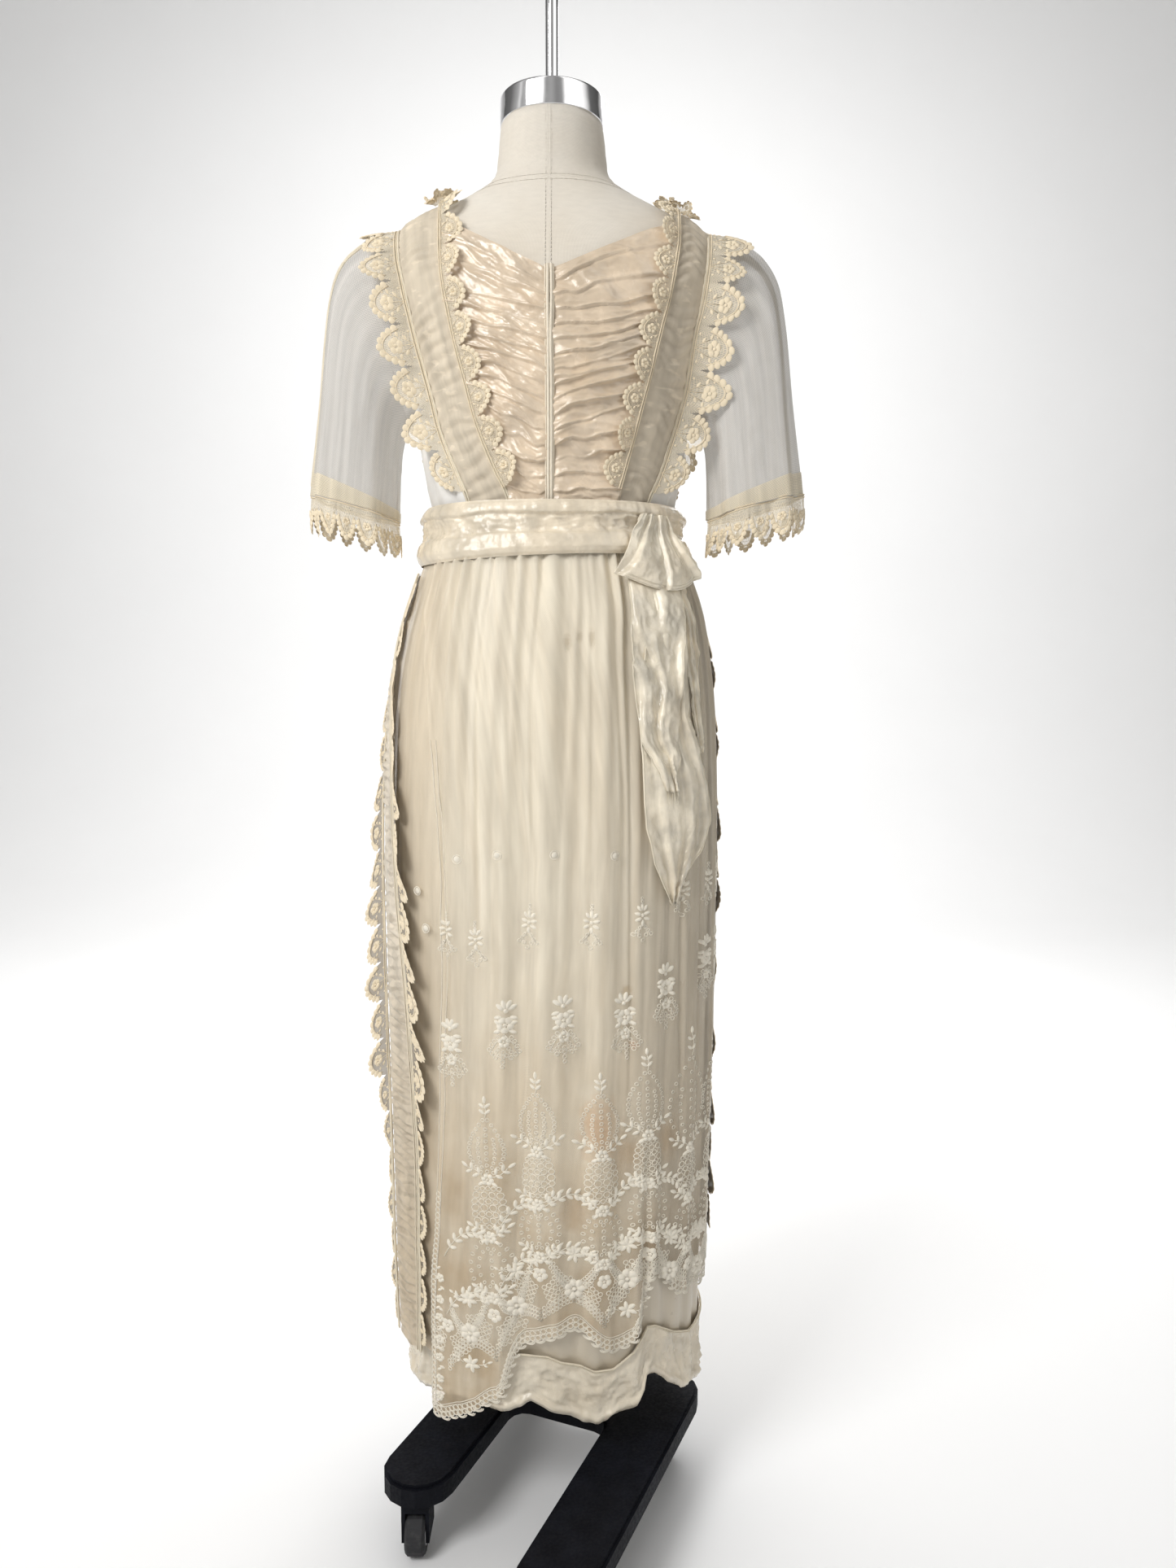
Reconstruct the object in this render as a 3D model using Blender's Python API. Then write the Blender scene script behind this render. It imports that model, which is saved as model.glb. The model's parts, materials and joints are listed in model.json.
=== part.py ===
"""Edwardian wedding dress on a limbless linen dress form with a castered stand.

Metres, +Z up. The pieces are shaped with the pole of the stand as the Z axis and the floor at
z = 0, and are then moved together, so that the origin is in the middle of the footprint. The
back of the dress faces -Y, so the left sleeve of the dress is at -X.
"""
import math

import bmesh
import bpy
import numpy as np
from mathutils import Vector

SIDES = {"left": -1, "right": 1}

# Gap between two pieces that meet, and the wall of each kind of cloth
GAP = 0.0003
NET = 0.0012
SATIN = 0.0016
# Cloth over the body's surface, and the linen set in under it, more on the shoulders
BODY_LAYER = 0.0010
FORM_CLEAR = 0.0008
SHOULDER_CLEAR = 0.0012

# Linen body, section by section
FORM = (
    # z, half width, half depth, centre y, power of the superellipse
    (0.880, 0.158, 0.104, 0.004, 2.3),
    (0.915, 0.161, 0.107, 0.004, 2.3),
    (0.990, 0.148, 0.101, 0.004, 2.3),
    (1.075, 0.128, 0.092, 0.004, 2.3),
    (1.120, 0.130, 0.094, 0.007, 2.3),
    (1.195, 0.142, 0.112, 0.016, 2.3),
    (1.255, 0.153, 0.121, 0.019, 2.3),
    (1.315, 0.166, 0.117, 0.013, 2.3),
    (1.375, 0.181, 0.104, 0.004, 2.3),
    (1.420, 0.188, 0.089, -0.002, 2.3),
    (1.445, 0.180, 0.080, -0.004, 2.2),
    (1.467, 0.154, 0.073, -0.004, 2.1),
    (1.485, 0.119, 0.068, -0.002, 2.05),
    (1.502, 0.086, 0.064, 0.000, 2.0),
    (1.516, 0.069, 0.061, 0.002, 2.0),
    (1.545, 0.061, 0.0585, 0.001, 2.0),
    (1.577, 0.0565, 0.0565, 0.000, 2.0),
)
FORM_SIDES = 28
FORM_EXTRA_LEVELS = (1.098, 1.157, 1.225)

# Skirt: the surface that the overskirt folds about
SKIRT = (
    # z, half width, half depth, centre x, centre y, power
    (0.125, 0.178, 0.130, 0.000, 0.004, 2.15),
    (0.312, 0.184, 0.133, -0.003, 0.004, 2.15),
    (0.464, 0.187, 0.135, -0.003, 0.004, 2.15),
    (0.660, 0.189, 0.135, -0.002, 0.004, 2.15),
    (0.857, 0.188, 0.134, -0.001, 0.005, 2.2),
    (0.952, 0.183, 0.131, 0.000, 0.006, 2.2),
    (0.999, 0.177, 0.127, 0.001, 0.006, 2.2),
    (1.045, 0.167, 0.121, 0.003, 0.007, 2.25),
    (1.073, 0.158, 0.115, 0.003, 0.008, 2.25),
    (1.106, 0.146, 0.107, 0.002, 0.008, 2.3),
    (1.131, 0.1395, 0.1025, 0.000, 0.008, 2.3),
)
WAIST = 1.133
SKIRT_TOP = 1.131
HEM = 0.130
HEM_BAND_TOP = 0.213
UNDERSKIRT_INSET = 0.0058
SKIRT_FOLDS = 20
SKIRT_FOLD_DEPTH = 0.0040

# Back panel of the overskirt: its free left edge and the height of its scalloped hem
FREE_EDGE = (
    # z, angle
    (0.125, -48.0), (0.25, -45.0), (0.40, -40.0), (0.55, -37.0), (0.70, -36.0),
    (0.82, -37.5), (0.92, -42.0), (1.03, -52.0), (1.131, -60.0),
)
OVERHEM = (
    # angle, z
    (-66.0, 0.138), (-40.0, 0.138), (-30.0, 0.146), (-20.0, 0.168), (-12.0, 0.222), (0.0, 0.236),
    (20.0, 0.232), (33.0, 0.238), (39.0, 0.276), (75.0, 0.282), (112.0, 0.280),
)
HEM_SCALLOP = 0.008
SIDE_SEAM = 107.0
LAP = -28.0

# Shoulder bands: distance along the band from the back at SHOULDER_Z, over the top, to the
# front, and the distance of both edges from the middle on each side
SHOULDER_Z = 1.400
SHOULDER_ARC = 0.260
BAND_COLUMNS = ("along", "left_inner", "left_outer", "right_inner", "right_outer")
BAND = (
    (-0.267, 0.040, 0.084, 0.066, 0.098),
    (-0.237, 0.046, 0.090, 0.071, 0.106),
    (-0.215, 0.057, 0.099, 0.077, 0.115),
    (-0.170, 0.075, 0.117, 0.089, 0.130),
    (-0.120, 0.089, 0.130, 0.102, 0.144),
    (-0.060, 0.104, 0.146, 0.117, 0.154),
    (-0.020, 0.112, 0.156, 0.127, 0.163),
    (0.020, 0.116, 0.163, 0.134, 0.168),
    (0.060, 0.117, 0.166, 0.136, 0.170),
    (0.130, 0.118, 0.167, 0.136, 0.170),
    (0.200, 0.117, 0.164, 0.132, 0.167),
    (0.260, 0.112, 0.157, 0.123, 0.161),
    (0.320, 0.104, 0.148, 0.112, 0.152),
    (0.420, 0.084, 0.124, 0.088, 0.128),
    (0.527, 0.062, 0.096, 0.064, 0.100),
)
BAND_RUCHES = 20
RUCHE_HEIGHT = 0.0010

# Tucked satin of the back
NECK_MIDDLE_Z = 1.393
NECK_SIDE_Z = {"left": 1.457, "right": 1.455}
TUCKS = 16
TUCK_HEIGHT = 0.0016
FRONT_NECK_Z = 1.362

# Sleeves: the armhole on the body, and the upper and under side of each ring
ARMHOLE_Z = 1.357
ARMHOLE_HALF_HEIGHT = 0.099
ARMHOLE_HALF_DEPTH = 0.048
# Height of the sleeve's seam over the body at the shoulder and under the arm
SLEEVE_SEAT = (0.0046, 0.0032)
SLEEVE = (
    # upper x, upper z, under x, under z, half depth
    (0.206, 1.4545, 0.1620, 1.250, 0.0490),
    (0.232, 1.434, 0.1670, 1.240, 0.0500),
    (0.247, 1.404, 0.1705, 1.228, 0.0505),
    (0.256, 1.350, 0.1735, 1.212, 0.0515),
    (0.264, 1.270, 0.1755, 1.186, 0.0530),
    (0.275, 1.172, 0.1775, 1.146, 0.0540),
)
SLEEVE_SIDES = 16
SLEEVE_FOLDS = 4
SLEEVE_FOLD_DEPTH = 0.0022
SLEEVE_Y = -0.002
SLEEVE_WIDER = {"left": 0.0, "right": 0.007}

# Lace: pitch and depth of the scallops
SHOULDER_LACE = {"left": 0.046, "right": 0.052}
NECK_LACE = 0.026
NECK_RUFFLE = 0.006
LACE_START = 0.036
CUFF_LACE = 0.044
CUFF_SCALLOPS = 12
CUFF_SEAM = 0.0012
ROBING_LACE = 0.034
ROBING_LACE_PITCH = 0.043
ROBING_LACE_RISE = {("left", "front"): 0.9, ("left", "back"): 0.42,
                    ("right", "front"): 0.10, ("right", "back"): -0.12}
ROBING_RISE_SHARE = (
    # z, share of the rise
    (0.15, 0.15), (0.44, 0.2), (0.52, 1.0), (0.72, 1.0), (0.80, 0.8), (0.94, 0.75), (1.04, 0.2),
)

# Sash
BELT_LOW = 1.096
BELT_HIGH = 1.156
BELT_ROWS = ((0.0, 0.0), (0.14, 0.0034), (0.38, 0.0030), (0.50, 0.0006), (0.70, 0.0016),
             (0.86, 0.0028), (1.0, 0.0))
BELT_SIDES = 32

# Net bands down the skirt: angle of the middle of each at a height
ROBING_COLUMNS = ("z", "left_angle", "right_angle")
ROBING = (
    (0.160, -65.0, 107.0), (0.300, -61.0, 107.0), (0.450, -60.0, 107.0),
    (0.600, -64.0, 107.0), (0.720, -70.0, 107.0), (0.880, -76.0, 107.0), (1.085, -88.0, 107.0),
)
ROBING_HALF_WIDTH = {"left": 0.034, "right": 0.020}
ROBING_RUCHES = 12

# Stand
POLE_RADIUS = 0.0073
POLE_TOP = 1.755
NECK_TOP = 1.577
CAP_HEIGHT = 0.029
CAP_RADIUS = 0.0575
LEG_TURN = math.radians(-23.0)
# Bars of the base: distance across from the pole, and along to the front and the back tip
BARS = {"left": (-0.088, -0.195, 0.212), "right": (0.118, -0.110, 0.300)}
BAR_HALF_WIDTH = 0.041
BAR_TOP = 0.090
BAR_THICKNESS = 0.024
BAR_EDGE = 0.004
# Crossbar that carries the pole: its front and back edge
CROSSBAR = (-0.048, 0.014)
CROSSBAR_FILLET = 0.020
CASTER_INSET = 0.036
WHEEL_RADIUS = 0.025
WHEEL_WIDTH = 0.022
WHEEL_FLATS = 18
CASTER_TRAIL = 0.014
# Direction that each caster's wheel trails to, in degrees about the vertical
CASTERS = {"left_back": -90.0, "right_back": 20.0, "left_front": 160.0, "right_front": 230.0}

FINISHES = {
    # name: colour, roughness, metallic
    "linen": ((0.80, 0.74, 0.64), 0.85, 0.0),
    "chrome": ((0.80, 0.81, 0.83), 0.12, 1.0),
    "black_iron": ((0.012, 0.012, 0.013), 0.55, 0.0),
    "rubber": ((0.02, 0.02, 0.02), 0.6, 0.0),
    "champagne_satin": ((0.82, 0.70, 0.52), 0.35, 0.0),
    "ivory_silk": ((0.88, 0.85, 0.80), 0.5, 0.0),
    "band_net": ((0.72, 0.64, 0.52), 0.8, 0.0),
    "skirt_net": ((0.74, 0.68, 0.56), 0.7, 0.0),
    "sleeve_net": ((0.80, 0.79, 0.75), 0.8, 0.0),
    "ecru_lace": ((0.78, 0.66, 0.47), 0.9, 0.0),
    "skirt_satin": ((0.80, 0.73, 0.60), 0.4, 0.0),
}


def read(table, at):
    """Smooth values of a table at points of its first column."""
    rows = np.array(table)
    keys, values = rows[:, 0], rows[:, 1:]
    slopes = np.gradient(values, keys, axis=0)
    at = np.clip(np.asarray(at, float), keys[0], keys[-1])
    low = np.clip(np.searchsorted(keys, at, side="right") - 1, 0, len(keys) - 2)
    step = (keys[low + 1] - keys[low])[..., None]
    t = (at - keys[low])[..., None] / step
    return (
        (2 * t**3 - 3 * t**2 + 1) * values[low]
        + (t**3 - 2 * t**2 + t) * step * slopes[low]
        + (3 * t**2 - 2 * t**3) * values[low + 1]
        + (t**3 - t**2) * step * slopes[low + 1]
    )


def power(value, exponent):
    return np.sign(value) * np.abs(value) ** exponent


def section_point(table, angle, z, centred=False):
    """Point of a body at an angle (0 is the back, 90 is +X) and a height."""
    values = read(table, z)
    half_width, half_depth = values[..., 0], values[..., 1]
    centre_x = values[..., 2] if centred else 0.0
    centre_y, exponent = values[..., -2], values[..., -1]
    turn = np.radians(angle)
    x = centre_x + half_width * power(np.sin(turn), 2 / exponent)
    y = centre_y - half_depth * power(np.cos(turn), 2 / exponent)
    return np.stack(np.broadcast_arrays(x, y, z), -1)


def form_depth(point):
    """One on the surface of the linen body, less inside it."""
    half_width, half_depth, centre_y, exponent = np.moveaxis(read(FORM, point[..., 2]), -1, 0)
    across = np.abs(point[..., 0] / half_width) ** exponent
    return across + np.abs((point[..., 1] - centre_y) / half_depth) ** exponent


def form_normal(point):
    step = 0.0005
    parts = []
    for axis in np.eye(3) * step:
        parts.append(form_depth(point + axis) - form_depth(point - axis))
    normal = np.stack(parts, -1)
    return normal / np.linalg.norm(normal, axis=-1, keepdims=True)


def lift(point, height):
    """Points on the linen body, moved out along its normal."""
    return point + form_normal(point) * np.asarray(height)[..., None]


def form_face(x, z, front=False):
    """Point of the back or the front of the linen body at a given x and height."""
    half_width, half_depth, centre_y, exponent = np.moveaxis(read(FORM, z), -1, 0)
    share = np.clip(1 - np.abs(x / half_width) ** exponent, 0.0, 1.0) ** (1 / exponent)
    y = centre_y + (half_depth if front else -half_depth) * share
    return np.stack(np.broadcast_arrays(x, y, z), -1)


def form_side(side, y, z):
    """Point of the side of the linen body at a given y and height."""
    half_width, half_depth, centre_y, exponent = np.moveaxis(read(FORM, z), -1, 0)
    share = np.clip(1 - np.abs((y - centre_y) / half_depth) ** exponent, 0.0, 1.0)
    x = side * half_width * share ** (1 / exponent)
    return np.stack(np.broadcast_arrays(x, y, z), -1)


def face_angle(x, z):
    """Angle about the Z axis of a point of the back at x."""
    half_width, _, _, exponent = np.moveaxis(read(FORM, z), -1, 0)
    share = np.clip(np.abs(x) / half_width, 0.0, 1.0) ** (exponent / 2)
    return np.degrees(np.arcsin(share)) * np.sign(x)


def over_shoulder(x, along):
    """Point of the linen body on a line at x, running from the back over to the front."""
    x, along = np.broadcast_arrays(np.asarray(x, float), np.asarray(along, float))
    drop = np.minimum(along, 0.0) - np.maximum(along - SHOULDER_ARC, 0.0)
    start = np.stack([x, np.zeros_like(x), SHOULDER_Z + drop], -1)
    turn = np.pi * np.clip(along / SHOULDER_ARC, 0.0, 1.0)
    ray = np.stack([np.zeros_like(x), -np.cos(turn), np.sin(turn)], -1)
    near, far = np.zeros_like(x), np.full_like(x, 0.2)
    for _ in range(36):
        middle = (near + far) / 2
        inside = form_depth(start + ray * middle[..., None]) < 1
        near = np.where(inside, middle, near)
        far = np.where(inside, far, middle)
    return start + ray * near[..., None]


def band_edge(side, along, edge):
    """Signed x of an edge of a shoulder band."""
    column = BAND_COLUMNS.index(f"{side}_{edge}") - 1
    return SIDES[side] * read(BAND, along)[..., column]


def skirt_point(angle, z, out=0.0):
    """Point of the skirt's surface, moved out level."""
    point = section_point(SKIRT, angle, z, centred=True)
    beside = section_point(SKIRT, np.asarray(angle) + 0.5, z, centred=True)
    before = section_point(SKIRT, np.asarray(angle) - 0.5, z, centred=True)
    along = beside - before
    normal = np.stack([along[..., 1], -along[..., 0], np.zeros_like(along[..., 0])], -1)
    normal /= np.linalg.norm(normal, axis=-1, keepdims=True)
    return point + normal * np.asarray(out)[..., None]


def skirt_normal(angle, z):
    return skirt_point(angle, z, 1.0) - skirt_point(angle, z, 0.0)


def smoothstep(value, low, high):
    t = np.clip((value - low) / (high - low), 0.0, 1.0)
    return t * t * (3 - 2 * t)


def skirt_fold(angle, z):
    """Fold height of the overskirt: none at the belt and beside the free edge."""
    grown = smoothstep(SKIRT_TOP - z, 0.01, 0.16)
    from_edge = np.abs((np.asarray(angle) + 46.0 + 180.0) % 360.0 - 180.0)
    calm = smoothstep(from_edge, 20.0, 36.0)
    wave = np.cos(np.radians(SKIRT_FOLDS * angle + 40.0 * np.sin(np.radians(3 * angle))))
    return SKIRT_FOLD_DEPTH * grown * calm * wave


def finish(name):
    """Principled material of a finish, made once."""
    material = bpy.data.materials.get(name)
    if material is None:
        colour, roughness, metallic = FINISHES[name]
        material = bpy.data.materials.new(name)
        material.use_nodes = True
        shader = material.node_tree.nodes["Principled BSDF"]
        shader.inputs["Base Color"].default_value = (*colour, 1.0)
        shader.inputs["Roughness"].default_value = roughness
        shader.inputs["Metallic"].default_value = metallic
    return material


def keep(name, mesh, finish_name, parent=None):
    """Object of the dress collection with its material."""
    thing = bpy.data.objects.new(name, mesh)
    bpy.data.collections["edwardian_wedding_dress"].objects.link(thing)
    mesh.materials.clear()
    mesh.materials.append(finish(finish_name))
    thing.parent = parent
    return thing


def solid(name, shape, finish_name, smooth=True, parent=None):
    """Object from a bmesh, with its faces turned out."""
    bmesh.ops.recalc_face_normals(shape, faces=shape.faces[:])
    if shape.calc_volume(signed=True) < 0:
        bmesh.ops.reverse_faces(shape, faces=shape.faces[:])
    mesh = bpy.data.meshes.new(name)
    shape.to_mesh(mesh)
    shape.free()
    if smooth:
        mesh.shade_smooth()
        mesh.set_sharp_from_angle(angle=math.radians(40))
    return keep(name, mesh, finish_name, parent)


def wall(name, outer, inner, finish_name, ring=False):
    """Closed cloth wall between two grids of rows by columns."""
    rows, columns = outer.shape[:2]
    shape = bmesh.new()
    sheets = []
    for grid in (outer, inner):
        sheets.append([[shape.verts.new(point) for point in row] for row in grid])
    spans = [(c, (c + 1) % columns) for c in range(columns if ring else columns - 1)]
    for row in range(rows - 1):
        for c, d in spans:
            for sheet in sheets:
                shape.faces.new((sheet[row][c], sheet[row][d],
                                 sheet[row + 1][d], sheet[row + 1][c]))
    for row in (0, rows - 1):
        for c, d in spans:
            shape.faces.new((sheets[0][row][c], sheets[0][row][d],
                             sheets[1][row][d], sheets[1][row][c]))
    if not ring:
        for column in (0, columns - 1):
            for row in range(rows - 1):
                shape.faces.new((sheets[0][row][column], sheets[0][row + 1][column],
                                 sheets[1][row + 1][column], sheets[1][row][column]))
    return solid(name, shape, finish_name)


def scallop(phase):
    """Depth of a bell-shaped scallop along its pitch, 0 in the notches and 1 at the tip."""
    return np.abs(np.sin(np.pi * np.asarray(phase))) ** 0.6


def make_form():
    """Linen torso, closed at both ends round the bore for the pole."""
    levels = sorted([row[0] for row in FORM] + list(FORM_EXTRA_LEVELS))
    shape = bmesh.new()
    angles = np.arange(FORM_SIDES) * 360.0 / FORM_SIDES
    rings = []
    for z in levels:
        ring = section_point(FORM, angles, np.full(FORM_SIDES, z))
        clear = FORM_CLEAR * (z < levels[-1]) + SHOULDER_CLEAR * (abs(z - 1.445) < 0.03)
        ring[:, :2] -= clear * ring[:, :2] / np.linalg.norm(ring[:, :2], axis=1, keepdims=True)
        rings.append(ring)
    turn = np.radians(angles)
    bore = POLE_RADIUS + GAP
    for z in (levels[-1], levels[0]):
        rings.append(np.stack([bore * np.sin(turn), -bore * np.cos(turn), np.full(FORM_SIDES, z)], -1))
    loops = [[shape.verts.new(point) for point in ring] for ring in rings]
    for low, high in zip(loops, loops[1:] + loops[:1]):
        for c in range(FORM_SIDES):
            d = (c + 1) % FORM_SIDES
            shape.faces.new((low[c], low[d], high[d], high[c]))
    solid("form_torso", shape, "linen")


def turned(name, profile, finish_name, sides):
    """Solid of revolution about the Z axis from a closed profile of radius and height."""
    shape = bmesh.new()
    loops = []
    for k in range(sides):
        turn = 2 * math.pi * k / sides
        loops.append([shape.verts.new((r * math.cos(turn), r * math.sin(turn), z)) for r, z in profile])
    for near, far in zip(loops, loops[1:] + loops[:1]):
        for p in range(len(profile)):
            q = (p + 1) % len(profile)
            shape.faces.new((near[p], far[p], far[q], near[q]))
    solid(name, shape, finish_name)


def make_cap_and_pole():
    low = NECK_TOP + GAP
    bore = POLE_RADIUS + GAP
    turned("neck_cap", (
        (bore, low), (CAP_RADIUS, low), (CAP_RADIUS, low + CAP_HEIGHT - 0.001),
        (CAP_RADIUS - 0.001, low + CAP_HEIGHT), (CAP_RADIUS - 0.010, low + CAP_HEIGHT + 0.002),
        (bore, low + CAP_HEIGHT + 0.003),
    ), "chrome", 28)
    length = POLE_TOP - BAR_TOP - GAP
    shape = bmesh.new()
    bmesh.ops.create_cone(shape, cap_ends=True, segments=16, radius1=POLE_RADIUS,
                          radius2=POLE_RADIUS, depth=length)
    bmesh.ops.translate(shape, vec=(0, 0, BAR_TOP + GAP + length / 2), verts=shape.verts)
    rim = [edge for edge in shape.edges if all(v.co.z > POLE_TOP - 0.001 for v in edge.verts)]
    bmesh.ops.bevel(shape, geom=rim, offset=0.003, segments=2, affect="EDGES")
    solid("pole", shape, "chrome")


def on_base(across, along, z=0.0):
    """Point of the turned base: across its bars, and along them to the back."""
    return Vector((across * math.cos(LEG_TURN) + along * math.sin(LEG_TURN),
                   across * math.sin(LEG_TURN) - along * math.cos(LEG_TURN), z))


def caster_place(name):
    side, end = name.split("_")
    across, front, back = BARS[side]
    return on_base(across, back - CASTER_INSET if end == "back" else front + CASTER_INSET)


def bar_outline(side):
    """Half of the base seen from above, from the crossbar's front edge round to its back."""
    sign = SIDES[side]
    across, front, back = BARS[side]
    corner = across - sign * (BAR_HALF_WIDTH + CROSSBAR_FILLET)
    points = []
    for turn in np.linspace(0.0, math.pi / 2, 4):
        points.append((corner + sign * CROSSBAR_FILLET * math.sin(turn),
                       CROSSBAR[0] - CROSSBAR_FILLET * (1 - math.cos(turn))))
    for centre, start in ((front + BAR_HALF_WIDTH, math.pi), (back - BAR_HALF_WIDTH, 0.0)):
        for turn in np.linspace(start, start + math.pi, 9):
            points.append((across + sign * BAR_HALF_WIDTH * math.cos(turn),
                           centre + BAR_HALF_WIDTH * math.sin(turn)))
    for turn in np.linspace(math.pi / 2, 0.0, 4):
        points.append((corner + sign * CROSSBAR_FILLET * math.sin(turn),
                       CROSSBAR[1] + CROSSBAR_FILLET * (1 - math.cos(turn))))
    return points


def make_base():
    """Cast base: two round-ended bars set askew, joined by a crossbar under the pole."""
    outline = bar_outline("right") + bar_outline("left")[::-1]
    shape = bmesh.new()
    top = shape.faces.new([shape.verts.new(on_base(x, y, BAR_TOP)) for x, y in outline])
    grown = bmesh.ops.extrude_face_region(shape, geom=[top])
    low = [v for v in grown["geom"] if isinstance(v, bmesh.types.BMVert)]
    bmesh.ops.translate(shape, vec=(0, 0, -BAR_THICKNESS), verts=low)
    rims = [edge for edge in shape.edges
            if all(abs(v.co.z - BAR_TOP) < 1e-6 for v in edge.verts)]
    bmesh.ops.bevel(shape, geom=rims, offset=BAR_EDGE, segments=2, affect="EDGES")
    solid("stand_base", shape, "black_iron")


def make_caster(name, trail_angle):
    """Caster under a bar: a hooded fork that swivels, and its wheel."""
    swivel = bpy.data.objects.new(f"caster_{name}_swivel", None)
    bpy.data.collections["edwardian_wedding_dress"].objects.link(swivel)
    swivel.location = caster_place(name) + Vector((0, 0, WHEEL_RADIUS))
    swivel.rotation_euler = (0, 0, math.radians(trail_angle))
    crown_top = BAR_TOP - BAR_THICKNESS - GAP - WHEEL_RADIUS
    crown_low = WHEEL_RADIUS + 0.003
    cheek_low = -0.006
    cheek_in = WHEEL_WIDTH / 2 + GAP
    cheek_out = cheek_in + 0.004
    chamfer = 0.004
    # Section across the wheel, run along the trail
    section = [(-cheek_out, cheek_low), (-cheek_in, cheek_low), (-cheek_in, crown_low),
               (cheek_in, crown_low), (cheek_in, cheek_low), (cheek_out, cheek_low),
               (cheek_out, crown_top - chamfer), (cheek_out - chamfer, crown_top),
               (-cheek_out + chamfer, crown_top), (-cheek_out, crown_top - chamfer)]
    half_length = 0.020
    start = CASTER_TRAIL / 2 - half_length
    shape = bmesh.new()
    face = shape.faces.new([shape.verts.new((start, y, z)) for y, z in section])
    grown = bmesh.ops.extrude_face_region(shape, geom=[face])
    moved = [v for v in grown["geom"] if isinstance(v, bmesh.types.BMVert)]
    bmesh.ops.translate(shape, vec=(2 * half_length, 0, 0), verts=moved)
    solid(f"caster_{name}_fork", shape, "black_iron", smooth=False, parent=swivel)
    # Tyre in flats, so that the wheel stands on one of them
    half = WHEEL_WIDTH / 2
    shoulder = 0.003
    to_corner = 1 / math.cos(math.pi / WHEEL_FLATS)
    shape = bmesh.new()
    loops = []
    for radius, y in ((WHEEL_RADIUS - shoulder, -half), (WHEEL_RADIUS, shoulder - half),
                      (WHEEL_RADIUS, half - shoulder), (WHEEL_RADIUS - shoulder, half)):
        loop = []
        for k in range(WHEEL_FLATS):
            turn = 2 * math.pi * k / WHEEL_FLATS
            reach = radius * to_corner
            loop.append(shape.verts.new((reach * math.cos(turn), y, reach * math.sin(turn))))
        loops.append(loop)
    for low, high in zip(loops, loops[1:]):
        for k in range(WHEEL_FLATS):
            after = (k + 1) % WHEEL_FLATS
            shape.faces.new((low[k], low[after], high[after], high[k]))
    shape.faces.new(loops[0])
    shape.faces.new(loops[-1])
    wheel = solid(f"caster_{name}_wheel", shape, "rubber", parent=swivel)
    wheel.location = (CASTER_TRAIL, 0, 0)


def make_back_panel(side):
    """Tucked satin from the closing to the shoulder band."""
    sign = SIDES[side]
    rows = TUCKS * 3
    across = np.linspace(0, 1, 4)[None, :] ** 0.7
    up = np.linspace(0, 1, rows + 1)[:, None]
    closing = 0.0016 + GAP
    top = NECK_MIDDLE_Z + (NECK_SIDE_Z[side] - NECK_MIDDLE_Z) * across
    z = WAIST + GAP + up * (top - WAIST - GAP)
    edge = band_edge(side, z - SHOULDER_Z, "inner") - sign * GAP
    x = sign * closing + (edge - sign * closing) * across
    ridge = np.array([0.0, 1.0, 0.25])[np.arange(rows + 1) % 3]
    ridge[0] = ridge[-1] = 0.0
    relief = TUCK_HEIGHT * ridge[:, None] * np.ones_like(x)
    base = form_face(x, z)
    wall(f"back_satin_{side}", lift(base, BODY_LAYER + SATIN + relief),
         lift(base, np.full(x.shape, BODY_LAYER)), "champagne_satin")


def make_closing():
    """Corded edge down the middle of the back."""
    z = np.linspace(WAIST + GAP, NECK_MIDDLE_Z + 0.004, 12)[:, None]
    x = np.array([-0.0016, 0.0016])[None, :]
    base = form_face(x + 0 * z, z + 0 * x)
    wall("back_closing", lift(base, np.full(base.shape[:2], 0.0052)),
         lift(base, np.full(base.shape[:2], BODY_LAYER)), "champagne_satin")


def make_band(side):
    """Ruched net band from the back waist over the shoulder to the front waist."""
    rows = BAND_RUCHES * 2
    along = np.linspace(BAND[0][0], BAND[-1][0], rows + 1)[:, None]
    sign = SIDES[side]
    inner = band_edge(side, along, "inner")
    outer = band_edge(side, along, "outer") - sign * GAP
    x = inner + (outer - inner) * np.linspace(0, 1, 4)[None, :]
    wave = (np.arange(rows + 1) % 2)[:, None] * np.array([0, 1, 1, 0])[None, :]
    base = over_shoulder(x, along)
    wall(f"shoulder_band_{side}", lift(base, BODY_LAYER + NET + RUCHE_HEIGHT * wave),
         lift(base, np.full(x.shape, BODY_LAYER)), "band_net")


def make_front():
    """Satin front between the shoulder bands, open at the neck."""
    up = np.linspace(0, 1, 13)[:, None]
    across = power(np.linspace(-1, 1, 9), 0.75)[None, :]
    top = FRONT_NECK_Z + (NECK_SIDE_Z["left"] - 0.004 - FRONT_NECK_Z) * np.abs(across) ** 1.6
    z = WAIST + GAP + up * (top - WAIST - GAP)
    along = SHOULDER_ARC + SHOULDER_Z - z
    left = band_edge("left", along, "inner") + 2 * GAP
    right = band_edge("right", along, "inner") - 2 * GAP
    x = (left + right) / 2 + across * (right - left) / 2
    relief = 0.0012 * (np.arange(13) % 2)[:, None] * (1 - across**2) * smoothstep(z, 1.16, 1.20)
    base = form_face(x, z, front=True)
    wall("bodice_front", lift(base, BODY_LAYER + SATIN + relief),
         lift(base, np.full(x.shape, BODY_LAYER)), "champagne_satin")


def armhole(turn, grow=0.0):
    """Depth and height of a point of the armhole, turn 0 at the top."""
    y = SLEEVE_Y + (ARMHOLE_HALF_DEPTH + grow) * np.sin(turn)
    z = ARMHOLE_Z + (ARMHOLE_HALF_HEIGHT + grow) * np.cos(turn)
    return y, z


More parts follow.
